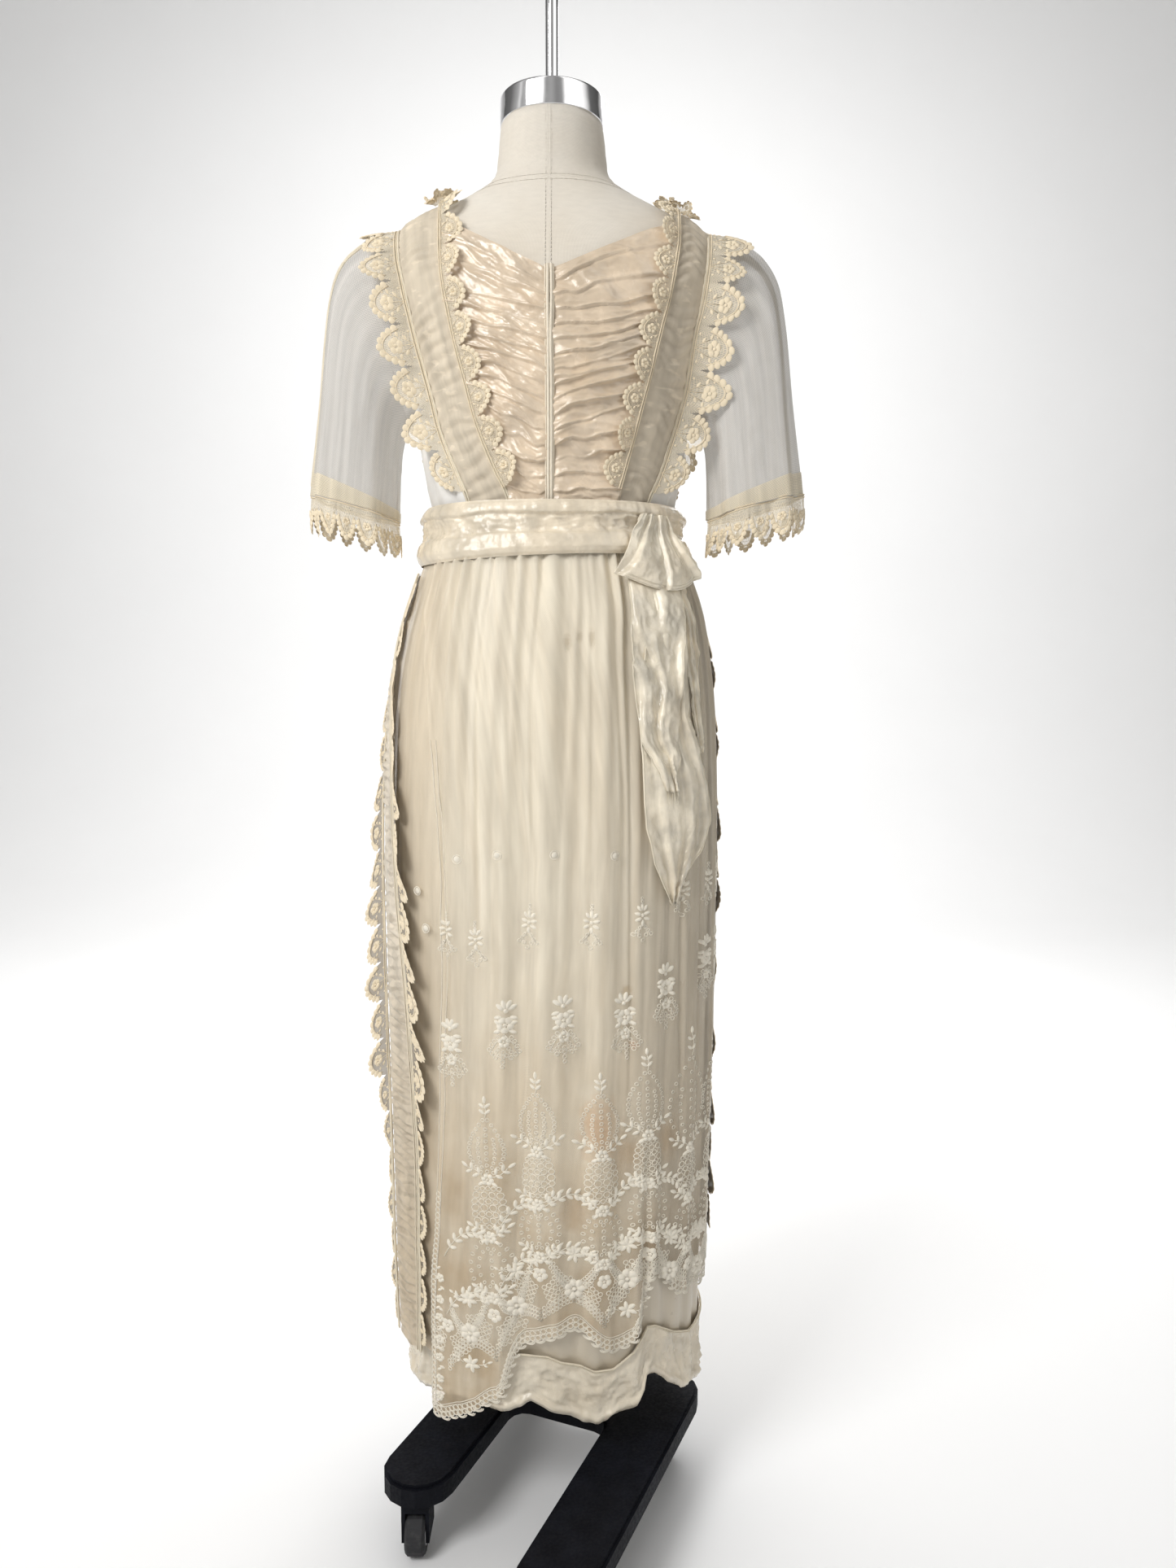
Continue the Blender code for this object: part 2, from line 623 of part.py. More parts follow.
def make_side(side):
    """White silk side of the bodice, cut out under the arm."""
    sign = SIDES[side]
    across = np.linspace(0, 1, 9)[None, :]
    up = np.linspace(0, 1, 9)[:, None]
    reach = np.abs(2 * across - 1)
    top = ARMHOLE_Z - ARMHOLE_HALF_HEIGHT - 0.0008 + 0.123 * reach**3
    z = WAIST + GAP + up * (top - WAIST - GAP)
    back = np.abs(face_angle(band_edge(side, z - SHOULDER_Z, "outer") + sign * 3 * GAP, z))
    front_along = SHOULDER_ARC + SHOULDER_Z - z
    front = 180 - np.abs(face_angle(band_edge(side, front_along, "outer") + sign * 3 * GAP, z))
    angle = sign * (back + (front - back) * across)
    base = section_point(FORM, angle, z)
    wall(f"bodice_side_{side}", lift(base, np.full(z.shape, BODY_LAYER + SATIN)),
         lift(base, np.full(z.shape, BODY_LAYER)), "ivory_silk")


def sleeve_rings(side, inset):
    """Rings of a sleeve from the armhole to the cuff, set in from its outer face."""
    sign = SIDES[side]
    turn = 2 * np.pi * np.arange(SLEEVE_SIDES) / SLEEVE_SIDES
    y, z = armhole(turn, -inset)
    seat = (SLEEVE_SEAT[0] + SLEEVE_SEAT[1]) / 2 + (SLEEVE_SEAT[0] - SLEEVE_SEAT[1]) / 2 * np.cos(turn)
    rings = [lift(form_side(sign, y, z), seat)]
    for k, (top_x, top_z, under_x, under_z, half_depth) in enumerate(SLEEVE):
        grown = (k + 1) / len(SLEEVE)
        top_x = top_x + SLEEVE_WIDER[side] * min(1.0, 2 * grown)
        fold = SLEEVE_FOLD_DEPTH * grown * np.cos(SLEEVE_FOLDS * turn + 0.4)
        size = math.hypot(top_x - under_x, top_z - under_z) / 2
        along = (size - inset + fold) / size * np.cos(turn)
        x = (top_x + under_x) / 2 + along * (top_x - under_x) / 2
        z = (top_z + under_z) / 2 + along * (top_z - under_z) / 2
        y = SLEEVE_Y + (half_depth - inset + fold) * np.sin(turn)
        rings.append(np.stack([sign * x, y, z], -1))
    return np.array(rings)


def make_sleeve(side):
    wall(f"sleeve_{side}", sleeve_rings(side, 0.0), sleeve_rings(side, NET), "sleeve_net", ring=True)


def make_cuff(side):
    """Scalloped lace that hangs from the sleeve's edge."""
    sign = SIDES[side]
    columns = CUFF_SCALLOPS * 3
    turn = 2 * np.pi * np.arange(columns) / columns
    top_x, top_z, under_x, under_z, half_depth = SLEEVE[-1]
    top_x = top_x + SLEEVE_WIDER[side]
    depth = 0.35 + 0.65 * scallop(np.arange(columns) / 3)
    sheets = []
    for inset in (0.0, NET):
        rows = []
        for drop in (0.0, 1.0):
            flare = 0.004 * drop - inset
            x = (top_x + under_x) / 2 + np.cos(turn) * ((top_x - under_x) / 2 + flare)
            z = (top_z + under_z) / 2 + np.cos(turn) * (top_z - under_z) / 2
            y = SLEEVE_Y + np.sin(turn) * (half_depth + flare)
            z = z - CUFF_SEAM - drop * depth * CUFF_LACE
            rows.append(np.stack([sign * x, y, z], -1))
        sheets.append(np.array(rows))
    wall(f"cuff_lace_{side}", *sheets, "ecru_lace", ring=True)


def flap(name, root, out, side_way, length, phase, ruffle=0.0):
    """Lace frill: rows from a root line outwards to its scalloped, ruffled edge."""
    face = np.cross(out, np.gradient(root, axis=0))
    face /= np.linalg.norm(face, axis=-1, keepdims=True)
    face *= np.sign((face * side_way).sum(-1, keepdims=True))
    depth = (0.35 + 0.65 * scallop(phase))[:, None]
    wave = face * (np.asarray(ruffle) * np.sin(np.pi * phase))[:, None]
    rows = np.array([root, root + out * depth * length + wave])
    wall(name, rows + face * NET, rows, "ecru_lace")


def make_shoulder_lace(side):
    """Lace along the outer edge of the shoulder band, standing away over the sleeve."""
    sign = SIDES[side]
    scallops, columns = 16, 4
    count = scallops * columns + 1
    along = np.linspace(BAND[0][0] + LACE_START, BAND[-1][0] - LACE_START, count)
    base = over_shoulder(band_edge(side, along, "outer") - sign * 0.008, along)
    normal = form_normal(base)
    root = base + normal * (BODY_LAYER + NET + 0.7 * RUCHE_HEIGHT + GAP)
    turn = np.clip(along / SHOULDER_ARC, 0, 1) * np.pi
    low = smoothstep(np.abs(along - SHOULDER_ARC / 2), 0.20, 0.38)
    out = np.stack([
        np.full(count, sign * 1.0),
        -np.cos(turn) * (0.26 - 0.50 * low),
        -0.16 + 0.02 * low,
    ], -1)
    out /= np.linalg.norm(out, axis=-1, keepdims=True)
    flap(f"shoulder_lace_{side}", root, out, normal, SHOULDER_LACE[side], np.arange(count) / columns)


def make_neck_lace(side):
    """Lace along the inner edge of the shoulder band, upright on the shoulder."""
    sign = SIDES[side]
    scallops, columns = 14, 4
    count = scallops * columns + 1
    along = np.linspace(BAND[0][0] + LACE_START, BAND[-1][0] - LACE_START, count)
    base = over_shoulder(band_edge(side, along, "inner") + sign * 0.004, along)
    normal = form_normal(base)
    root = base + normal * (BODY_LAYER + SATIN + TUCK_HEIGHT + GAP)
    upright = 1 - smoothstep(np.abs(along - SHOULDER_ARC / 2), 0.045, 0.11)
    inward = np.cross(np.gradient(root, axis=0), normal)
    inward /= np.linalg.norm(inward, axis=-1, keepdims=True)
    inward *= -np.sign(inward[:, :1]) * sign
    out = inward * (1 - 0.7 * upright)[:, None] + normal * (0.10 + 0.85 * upright)[:, None]
    out /= np.linalg.norm(out, axis=-1, keepdims=True)
    flap(f"neck_lace_{side}", root, out, normal - 0.5 * inward, NECK_LACE * (1 - 0.3 * upright)[:, None],
         np.arange(count) / columns, NECK_RUFFLE * upright)


def belt_point(angle, height, out):
    z = BELT_LOW + (BELT_HIGH - BELT_LOW) * height
    point = skirt_point(angle, np.minimum(z, SKIRT_TOP - 0.006), out)
    point[..., 2] = z
    return point


def make_belt():
    """Draped sash in three rows round the waist."""
    angle = (np.arange(BELT_SIDES) * 360.0 / BELT_SIDES)[None, :]
    height = np.array([row[0] for row in BELT_ROWS])[:, None]
    relief = np.array([row[1] for row in BELT_ROWS])[:, None]
    angle, height, relief = np.broadcast_arrays(angle, height, relief)
    inner = 0.0056
    wall("belt", belt_point(angle, height, inner + SATIN + relief),
         belt_point(angle, height, np.full(angle.shape, inner)), "champagne_satin", ring=True)


def hanging(name, edges, seat, relief, columns):
    """Sash end that hangs on the skirt: rows of height and the angles of both edges."""
    table = np.array(edges)
    rows = max(4, int((table[0, 0] - table[-1, 0]) / 0.03))
    z = np.linspace(table[0, 0], table[-1, 0], rows + 1)[:, None]
    left = np.interp(-z, -table[:, 0], table[:, 1])
    right = np.interp(-z, -table[:, 0], table[:, 2])
    across = np.linspace(0, 1, columns + 1)[None, :]
    angle = left + (right - left) * across
    wave = relief * (np.arange(columns + 1) % 2 == 0)[None, :]
    z, wave = z + 0 * angle, wave + 0 * angle
    wall(name, skirt_point(angle, z, seat + SATIN + wave),
         skirt_point(angle, z, seat + 0 * angle), "champagne_satin")


def make_sash():
    """Bow at the right of the back, and the sash ends under it."""
    across = np.linspace(0, 1, 9)[None, :]
    down = np.linspace(0, 1, 6)[:, None]
    left = 37.0 - 18.0 * down
    right = 54.0 + 12.0 * down
    angle = left + (right - left) * across
    z = 1.142 - 0.068 * down - 0.020 * down * np.sin(np.pi * across)
    fold = 0.0030 * (np.arange(9) % 2)[None, :] * (0.4 + 0.6 * down)
    puff = 0.0100 + 0.0060 * smoothstep(down, 0.3, 0.9) + 0.004 * np.sin(np.pi * down)
    reach = puff + fold + 0 * angle
    level = np.minimum(z, SKIRT_TOP - 0.006)
    grid = {}
    for name, out in (("outer", reach + 0.0024), ("inner", puff + 0 * angle)):
        point = skirt_point(angle, level, out)
        point[..., 2] = z
        grid[name] = point
    wall("sash_bow", grid["outer"], grid["inner"], "champagne_satin")
    clear = SKIRT_FOLD_DEPTH + NET
    hanging("sash_strip", ((1.088, 48.0, 57.0), (0.98, 50.0, 57.0), (0.90, 53.0, 58.0)),
            clear + 0.0006, 0.0010, 2)
    hanging("sash_end_long", ((1.088, 36.0, 52.0), (0.90, 30.0, 47.0), (0.83, 30.0, 54.0),
                              (0.78, 34.0, 52.0), (0.725, 40.0, 42.0)),
            clear + 0.0036, 0.0014, 4)
    hanging("sash_end_short", ((1.088, 26.0, 42.0), (0.96, 27.0, 44.0), (0.88, 31.0, 42.0),
                               (0.835, 35.0, 38.0)),
            clear + 0.0070, 0.0014, 4)


def make_underskirt():
    """Satin underskirt and its hem band."""
    angle = (np.arange(40) * 9.0)[None, :]
    for name, levels, finish_name in (
        ("underskirt", (HEM_BAND_TOP + GAP, 0.60, 0.93, 1.03, 1.085, SKIRT_TOP), "skirt_satin"),
        ("hem_band", (HEM, HEM_BAND_TOP), "champagne_satin"),
    ):
        z = np.array(levels)[:, None]
        deep = UNDERSKIRT_INSET * smoothstep(SKIRT_TOP - z, 0.0, 0.10) + 0.0008
        out = 0 * angle - deep
        z = z + 0 * angle
        if name == "hem_band":
            z = z + 0.004 * np.cos(np.radians(5 * angle)) * (z < HEM_BAND_TOP - 0.01)
        wall(name, skirt_point(angle, z, out), skirt_point(angle, z, out - SATIN), finish_name, ring=True)


def make_overskirt():
    """Gathered net overskirt: the back panel laps over the front panel at the left."""
    step = 360.0 / (SKIRT_FOLDS * 4)
    high = np.array([0.0, 0.35, 0.68, 0.84, 0.92, 0.965, 1.0])[:, None]
    # Back panel, with the free edge at the left
    across = np.linspace(0, 1, int((SIDE_SEAM + 48) / step) + 1)[None, :]
    edge = read(FREE_EDGE, 0.14 + (SKIRT_TOP - 0.14) * high[:, 0])
    angle = edge + (SIDE_SEAM - 0.1 - edge) * across
    hem = np.interp(angle[0], [r[0] for r in OVERHEM], [r[1] for r in OVERHEM])[None, :]
    hem = hem - HEM_SCALLOP * scallop(np.arange(angle.shape[1]) / 4)[None, :]
    z = hem + (SKIRT_TOP - hem) * high
    lap = 0.0028 * (1 - smoothstep(angle, LAP, 0.0))
    out = skirt_fold(angle, z) + lap
    wall("overskirt_back", skirt_point(angle, z, out + NET), skirt_point(angle, z, out), "skirt_net")
    # Front panel, from the right side seam round to the lap
    across = np.linspace(0, 1, int((360 + LAP - SIDE_SEAM) / step) + 1)[None, :]
    angle = SIDE_SEAM + 0.1 + (360 + LAP - SIDE_SEAM - 0.1) * across
    hem = 0.280 - HEM_SCALLOP * scallop(np.arange(angle.shape[1]) / 4)[None, :]
    hem = hem - 0.130 * smoothstep(angle, 255.0, 290.0)
    z = hem + (SKIRT_TOP - hem) * high
    angle = angle + 0 * z
    out = skirt_fold(angle, z)
    wall("overskirt_front", skirt_point(angle, z, out + NET), skirt_point(angle, z, out), "skirt_net")


def robing_line(side, z, shift):
    """Angle of a line along a robing, shifted in metres from its middle."""
    column = ROBING_COLUMNS.index(f"{side}_angle") - 1
    middle = read(ROBING, z)[..., column]
    radius = 0.165
    return middle + np.degrees(shift / radius)


def make_robing(side):
    """Ruched net band down the skirt with lace along both edges."""
    low, high = ROBING[0][0] + (0.0 if side == "left" else 0.13), ROBING[-1][0]
    rows = ROBING_RUCHES * 2
    z = np.linspace(low, high, rows + 1)[:, None]
    shift = np.linspace(-1, 1, 4)[None, :] * ROBING_HALF_WIDTH[side]
    angle = robing_line(side, z + 0 * shift, shift)
    z = z + 0 * angle
    seat = SKIRT_FOLD_DEPTH * smoothstep(SKIRT_TOP - z, 0.01, 0.16) + NET + 0.0007
    wave = (np.arange(rows + 1) % 2)[:, None] * np.array([0, 1, 1, 0])[None, :] * 0.0012
    wall(f"robing_{side}", skirt_point(angle, z, seat + NET + wave),
         skirt_point(angle, z, seat), "band_net")
    pitches = int((high - low) / ROBING_LACE_PITCH)
    for edge, way in (("front", -1 if side == "left" else 1), ("back", 1 if side == "left" else -1)):
        count = pitches * 2 + 1
        level = np.linspace(low + 0.01, high - 0.004, count)
        line = robing_line(side, level, way * (ROBING_HALF_WIDTH[side] - 0.003))
        seat = SKIRT_FOLD_DEPTH * smoothstep(SKIRT_TOP - level, 0.01, 0.16) + 2 * NET + 0.0017
        root = skirt_point(line, level, seat)
        normal = skirt_normal(line, level)
        tangent = skirt_point(line + 1.0, level) - skirt_point(line - 1.0, level)
        tangent *= way / np.linalg.norm(tangent, axis=-1, keepdims=True)
        rise = ROBING_LACE_RISE[side, edge] * np.interp(level, *np.transpose(ROBING_RISE_SHARE))
        out = tangent + rise[:, None] * normal + np.array([0, 0, -0.15])
        out /= np.linalg.norm(out, axis=-1, keepdims=True)
        flap(f"robing_lace_{side}_{edge}", root, out, normal, ROBING_LACE, np.arange(count) / 2)


def centre_footprint():
    """Move all pieces together, so that the origin is in the middle of the footprint."""
    bpy.context.view_layer.update()
    corners = np.array([thing.matrix_world @ v.co for thing in bpy.data.objects
                        if thing.type == "MESH" for v in thing.data.vertices])
    middle = (corners.min(0) + corners.max(0)) / 2
    for thing in bpy.data.objects:
        if thing.parent is None:
            thing.location.x -= middle[0]
            thing.location.y -= middle[1]


def build():
    for thing in list(bpy.data.objects):
        bpy.data.objects.remove(thing, do_unlink=True)
    dress = bpy.data.collections.new("edwardian_wedding_dress")
    bpy.context.scene.collection.children.link(dress)
    make_form()
    make_cap_and_pole()
    make_base()
    for name, trail_angle in CASTERS.items():
        make_caster(name, trail_angle)
    make_closing()
    make_front()
    for side in SIDES:
        make_back_panel(side)
        make_band(side)
        make_side(side)
        make_sleeve(side)
        make_cuff(side)
        make_shoulder_lace(side)
        make_neck_lace(side)
        make_robing(side)
    make_belt()
    make_sash()
    make_underskirt()
    make_overskirt()
    centre_footprint()


build()
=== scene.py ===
"""Edwardian wedding dress on its dress form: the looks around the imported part.

Shapes are worked out in metres about the pole: X across, Y to the front of the dress and Z up.
The back of the dress, the side that the photograph shows, faces -Y. Points move to the part's
frame when a mesh is made. An angle of 0 is the back and 90 is +X.
"""

import json
import math

import bpy
import numpy as np
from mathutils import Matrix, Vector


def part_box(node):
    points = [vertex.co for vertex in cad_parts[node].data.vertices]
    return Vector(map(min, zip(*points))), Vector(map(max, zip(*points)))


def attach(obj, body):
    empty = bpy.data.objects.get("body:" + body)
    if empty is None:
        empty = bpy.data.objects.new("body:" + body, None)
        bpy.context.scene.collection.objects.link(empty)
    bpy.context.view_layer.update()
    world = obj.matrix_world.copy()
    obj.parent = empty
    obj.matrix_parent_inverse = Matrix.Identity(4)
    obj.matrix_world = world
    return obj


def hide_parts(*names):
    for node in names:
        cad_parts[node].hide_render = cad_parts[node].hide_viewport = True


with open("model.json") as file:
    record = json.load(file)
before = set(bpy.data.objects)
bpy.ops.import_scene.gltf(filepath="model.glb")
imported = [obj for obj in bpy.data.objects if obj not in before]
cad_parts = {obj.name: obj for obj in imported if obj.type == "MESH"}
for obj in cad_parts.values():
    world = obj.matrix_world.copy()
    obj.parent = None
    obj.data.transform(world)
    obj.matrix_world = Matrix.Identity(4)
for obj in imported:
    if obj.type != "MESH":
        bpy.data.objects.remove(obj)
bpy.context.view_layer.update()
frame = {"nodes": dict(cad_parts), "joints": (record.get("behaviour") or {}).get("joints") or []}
DRESS_BODY = "stand_and_dress"
POLE_LOW, POLE_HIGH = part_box("pole")
PLACE = np.array([(POLE_LOW.x + POLE_HIGH.x) / 2, (POLE_LOW.y + POLE_HIGH.y) / 2, 0.0])

# Camera of the photograph, from the pole
CAMERA_PLACE = (0.040, -1.33, 0.96)
CAMERA_DOWN = math.radians(5.0)
CAMERA_LENS = 26.155
SENSOR = 36.0


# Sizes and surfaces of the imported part


SIDES = {"left": -1, "right": 1}

# Gap between two pieces that meet, and the wall of each kind of cloth
GAP = 0.0003
NET = 0.0012
SATIN = 0.0016
# Cloth over the body's surface, and the linen set in under it, more on the shoulders
BODY_LAYER = 0.0010
FORM_CLEAR = 0.0008
SHOULDER_CLEAR = 0.0012

# Linen body, section by section
FORM = (
    # z, half width, half depth, centre y, power of the superellipse
    (0.880, 0.158, 0.104, 0.004, 2.3),
    (0.915, 0.161, 0.107, 0.004, 2.3),
    (0.990, 0.148, 0.101, 0.004, 2.3),
    (1.075, 0.128, 0.092, 0.004, 2.3),
    (1.120, 0.130, 0.094, 0.007, 2.3),
    (1.195, 0.142, 0.112, 0.016, 2.3),
    (1.255, 0.153, 0.121, 0.019, 2.3),
    (1.315, 0.166, 0.117, 0.013, 2.3),
    (1.375, 0.181, 0.104, 0.004, 2.3),
    (1.420, 0.188, 0.089, -0.002, 2.3),
    (1.445, 0.180, 0.080, -0.004, 2.2),
    (1.467, 0.154, 0.073, -0.004, 2.1),
    (1.485, 0.119, 0.068, -0.002, 2.05),
    (1.502, 0.086, 0.064, 0.000, 2.0),
    (1.516, 0.069, 0.061, 0.002, 2.0),
    (1.545, 0.061, 0.0585, 0.001, 2.0),
    (1.577, 0.0565, 0.0565, 0.000, 2.0),
)

# Skirt: the surface that the overskirt folds about
SKIRT = (
    # z, half width, half depth, centre x, centre y, power
    (0.125, 0.178, 0.130, 0.000, 0.004, 2.15),
    (0.312, 0.184, 0.133, -0.003, 0.004, 2.15),
    (0.464, 0.187, 0.135, -0.003, 0.004, 2.15),
    (0.660, 0.189, 0.135, -0.002, 0.004, 2.15),
    (0.857, 0.188, 0.134, -0.001, 0.005, 2.2),
    (0.952, 0.183, 0.131, 0.000, 0.006, 2.2),
    (0.999, 0.177, 0.127, 0.001, 0.006, 2.2),
    (1.045, 0.167, 0.121, 0.003, 0.007, 2.25),
    (1.073, 0.158, 0.115, 0.003, 0.008, 2.25),
    (1.106, 0.146, 0.107, 0.002, 0.008, 2.3),
    (1.131, 0.1395, 0.1025, 0.000, 0.008, 2.3),
)
WAIST = 1.133
SKIRT_TOP = 1.131
# The belt and the bow are laid about the skirt's surface no higher than this
BELT_CARRIER_TOP = SKIRT_TOP - 0.006
# Mean radius of the skirt, and its length of cloth in metres for each degree
SKIRT_RADIUS = 0.165
DEGREE = 0.0029
HEM_LOW = 0.13
UNDERSKIRT_INSET = 0.0058
SKIRT_FOLDS = 20
SKIRT_FOLD_DEPTH = 0.0040

# Back panel of the overskirt: its free left edge
FREE_EDGE = (
    # z, angle
    (0.125, -48.0), (0.25, -45.0), (0.40, -40.0), (0.55, -37.0), (0.70, -36.0),
    (0.82, -37.5), (0.92, -42.0), (1.03, -52.0), (1.131, -60.0),
)
SIDE_SEAM = 107.0
LAP = -28.0

# Shoulder bands: distance along the band from the back at SHOULDER_Z, over the top, to the
# front, and the distance of both edges from the middle on each side
SHOULDER_Z = 1.400
SHOULDER_ARC = 0.260
BAND_COLUMNS = ("along", "left_inner", "left_outer", "right_inner", "right_outer")
BAND = (
    (-0.267, 0.040, 0.084, 0.066, 0.098),
    (-0.237, 0.046, 0.090, 0.071, 0.106),
    (-0.215, 0.057, 0.099, 0.077, 0.115),
    (-0.170, 0.075, 0.117, 0.089, 0.130),
    (-0.120, 0.089, 0.130, 0.102, 0.144),
    (-0.060, 0.104, 0.146, 0.117, 0.154),
    (-0.020, 0.112, 0.156, 0.127, 0.163),
    (0.020, 0.116, 0.163, 0.134, 0.168),
    (0.060, 0.117, 0.166, 0.136, 0.170),
    (0.130, 0.118, 0.167, 0.136, 0.170),
    (0.200, 0.117, 0.164, 0.132, 0.167),
    (0.260, 0.112, 0.157, 0.123, 0.161),
    (0.320, 0.104, 0.148, 0.112, 0.152),
    (0.420, 0.084, 0.124, 0.088, 0.128),
    (0.527, 0.062, 0.096, 0.064, 0.100),
)

# Tucked satin of the back
NECK_MIDDLE_Z = 1.393
NECK_SIDE_Z = {"left": 1.457, "right": 1.455}
TUCKS = 16
FRONT_NECK_Z = 1.362

# Sleeves: the armhole on the body, and the upper and under side of each ring
ARMHOLE_Z = 1.357
ARMHOLE_HALF_HEIGHT = 0.099
ARMHOLE_HALF_DEPTH = 0.048
# Height of the sleeve's seam over the body at the shoulder and under the arm
SLEEVE_SEAT = (0.0046, 0.0032)
SLEEVE = (
    # upper x, upper z, under x, under z, half depth
    (0.206, 1.4545, 0.1620, 1.250, 0.0490),
    (0.232, 1.434, 0.1670, 1.240, 0.0500),
    (0.247, 1.404, 0.1705, 1.228, 0.0505),
    (0.256, 1.350, 0.1735, 1.212, 0.0515),
    (0.264, 1.270, 0.1755, 1.186, 0.0530),
    (0.275, 1.172, 0.1775, 1.146, 0.0540),
)
SLEEVE_Y = -0.002
SLEEVE_WIDER = {"left": 0.0, "right": 0.007}

# Lace: depth of the scallops, how far from a band's end it starts, and the side strips' pitch
SHOULDER_LACE = {"left": 0.046, "right": 0.052}
NECK_LACE = 0.026
LACE_START = 0.036
CUFF_LACE = 0.044
ROBING_LACE = 0.034
ROBING_LACE_PITCH = 0.043
ROBING_LACE_RISE = {("left", "front"): 0.9, ("left", "back"): 0.42,
                    ("right", "front"): 0.10, ("right", "back"): -0.12}
ROBING_RISE_SHARE = (
    # z, share of the rise
    (0.15, 0.15), (0.44, 0.2), (0.52, 1.0), (0.72, 1.0), (0.80, 0.8), (0.94, 0.75), (1.04, 0.2),
)

# Sash
BELT_LOW = 1.096
BELT_HIGH = 1.156
BELT_ROWS = ((0.0, 0.0), (0.14, 0.0034), (0.38, 0.0030), (0.50, 0.0006), (0.70, 0.0016),
             (0.86, 0.0028), (1.0, 0.0))

# Net bands down the skirt: angle of the middle of each at a height
ROBING_COLUMNS = ("z", "left_angle", "right_angle")
ROBING = (
    (0.160, -65.0, 107.0), (0.300, -61.0, 107.0), (0.450, -60.0, 107.0),
    (0.600, -64.0, 107.0), (0.720, -70.0, 107.0), (0.880, -76.0, 107.0), (1.085, -88.0, 107.0),
)
ROBING_HALF_WIDTH = {"left": 0.034, "right": 0.020}

# Stand
POLE_RADIUS = 0.0073
NECK_TOP = 1.577
WHEEL_WIDTH = 0.022
CASTERS = ("left_back", "right_back", "left_front", "right_front")


def read(table, at):
    """Smooth values of a table at points of its first column."""
    rows = np.array(table)
    keys, values = rows[:, 0], rows[:, 1:]
    slopes = np.gradient(values, keys, axis=0)
    at = np.clip(np.asarray(at, float), keys[0], keys[-1])
    low = np.clip(np.searchsorted(keys, at, side="right") - 1, 0, len(keys) - 2)
    step = (keys[low + 1] - keys[low])[..., None]
    t = (at - keys[low])[..., None] / step
    return (
        (2 * t**3 - 3 * t**2 + 1) * values[low]
        + (t**3 - 2 * t**2 + t) * step * slopes[low]
        + (3 * t**2 - 2 * t**3) * values[low + 1]
        + (t**3 - t**2) * step * slopes[low + 1]
    )


def power(value, exponent):
    return np.sign(value) * np.abs(value) ** exponent


def trace(table, at):
    """Values of a table of two columns, in straight lines between its rows."""
    return np.interp(at, *np.transpose(table))


def cos_sin(degrees):
    return math.cos(math.radians(degrees)), math.sin(math.radians(degrees))


def unit(vectors, least=0.0):
    """Vectors at a length of one; least keeps one of no length from dividing by zero."""
    return vectors / (np.linalg.norm(vectors, axis=-1, keepdims=True) + least)


def cells(rows, columns, lowest=0, highest=1, leftmost=0, rightmost=1):
    """Even steps up a column and along a row, which broadcast to a grid."""
    up, across = np.linspace(lowest, highest, rows), np.linspace(leftmost, rightmost, columns)
    return up[:, None], across[None, :]


def section_point(table, angle, z, centred=False):
    """Point of a body at an angle (0 is the back, 90 is +X) and a height."""
    values = read(table, z)
    half_width, half_depth = values[..., 0], values[..., 1]
    centre_x = values[..., 2] if centred else 0.0
    centre_y, exponent = values[..., -2], values[..., -1]
    turn = np.radians(angle)
    x = centre_x + half_width * power(np.sin(turn), 2 / exponent)
    y = centre_y - half_depth * power(np.cos(turn), 2 / exponent)
    return np.stack(np.broadcast_arrays(x, y, z), -1)


def form_at(z):
    """Half width, half depth, centre y and power of the linen body at a height."""
    return np.moveaxis(read(FORM, z), -1, 0)


def form_depth(point):
    """One on the surface of the linen body, less inside it."""
    half_width, half_depth, centre_y, exponent = form_at(point[..., 2])
    across = np.abs(point[..., 0] / half_width) ** exponent
    return across + np.abs((point[..., 1] - centre_y) / half_depth) ** exponent


def form_normal(point):
    step = 0.0005
    parts = []
    for axis in np.eye(3) * step:
        parts.append(form_depth(point + axis) - form_depth(point - axis))
    return unit(np.stack(parts, -1))


def lift(point, height):
    """Points on the linen body, moved out along its normal."""
    return point + form_normal(point) * np.asarray(height)[..., None]


def form_face(x, z, front=False):
    """Point of the back or the front of the linen body at a given x and height."""
    half_width, half_depth, centre_y, exponent = form_at(z)
    share = np.clip(1 - np.abs(x / half_width) ** exponent, 0.0, 1.0) ** (1 / exponent)
    y = centre_y + (half_depth if front else -half_depth) * share
    return np.stack(np.broadcast_arrays(x, y, z), -1)


def form_side(side, y, z):
    """Point of the side of the linen body at a given y and height."""
    half_width, half_depth, centre_y, exponent = form_at(z)
    share = np.clip(1 - np.abs((y - centre_y) / half_depth) ** exponent, 0.0, 1.0)
    x = side * half_width * share ** (1 / exponent)
    return np.stack(np.broadcast_arrays(x, y, z), -1)


def face_angle(x, z):
    """Angle about the Z axis of a point of the back at x."""
    half_width, _, _, exponent = form_at(z)
    share = np.clip(np.abs(x) / half_width, 0.0, 1.0) ** (exponent / 2)
    return np.degrees(np.arcsin(share)) * np.sign(x)


def over_shoulder(x, along):
    """Point of the linen body on a line at x, running from the back over to the front."""
    x, along = np.broadcast_arrays(np.asarray(x, float), np.asarray(along, float))
    drop = np.minimum(along, 0.0) - np.maximum(along - SHOULDER_ARC, 0.0)
    start = np.stack([x, np.zeros_like(x), SHOULDER_Z + drop], -1)
    turn = np.pi * np.clip(along / SHOULDER_ARC, 0.0, 1.0)
    ray = np.stack([np.zeros_like(x), -np.cos(turn), np.sin(turn)], -1)
    near, far = np.zeros_like(x), np.full_like(x, 0.2)
    for _ in range(36):
        middle = (near + far) / 2
        inside = form_depth(start + ray * middle[..., None]) < 1
        near = np.where(inside, middle, near)
        far = np.where(inside, far, middle)
    return start + ray * near[..., None]


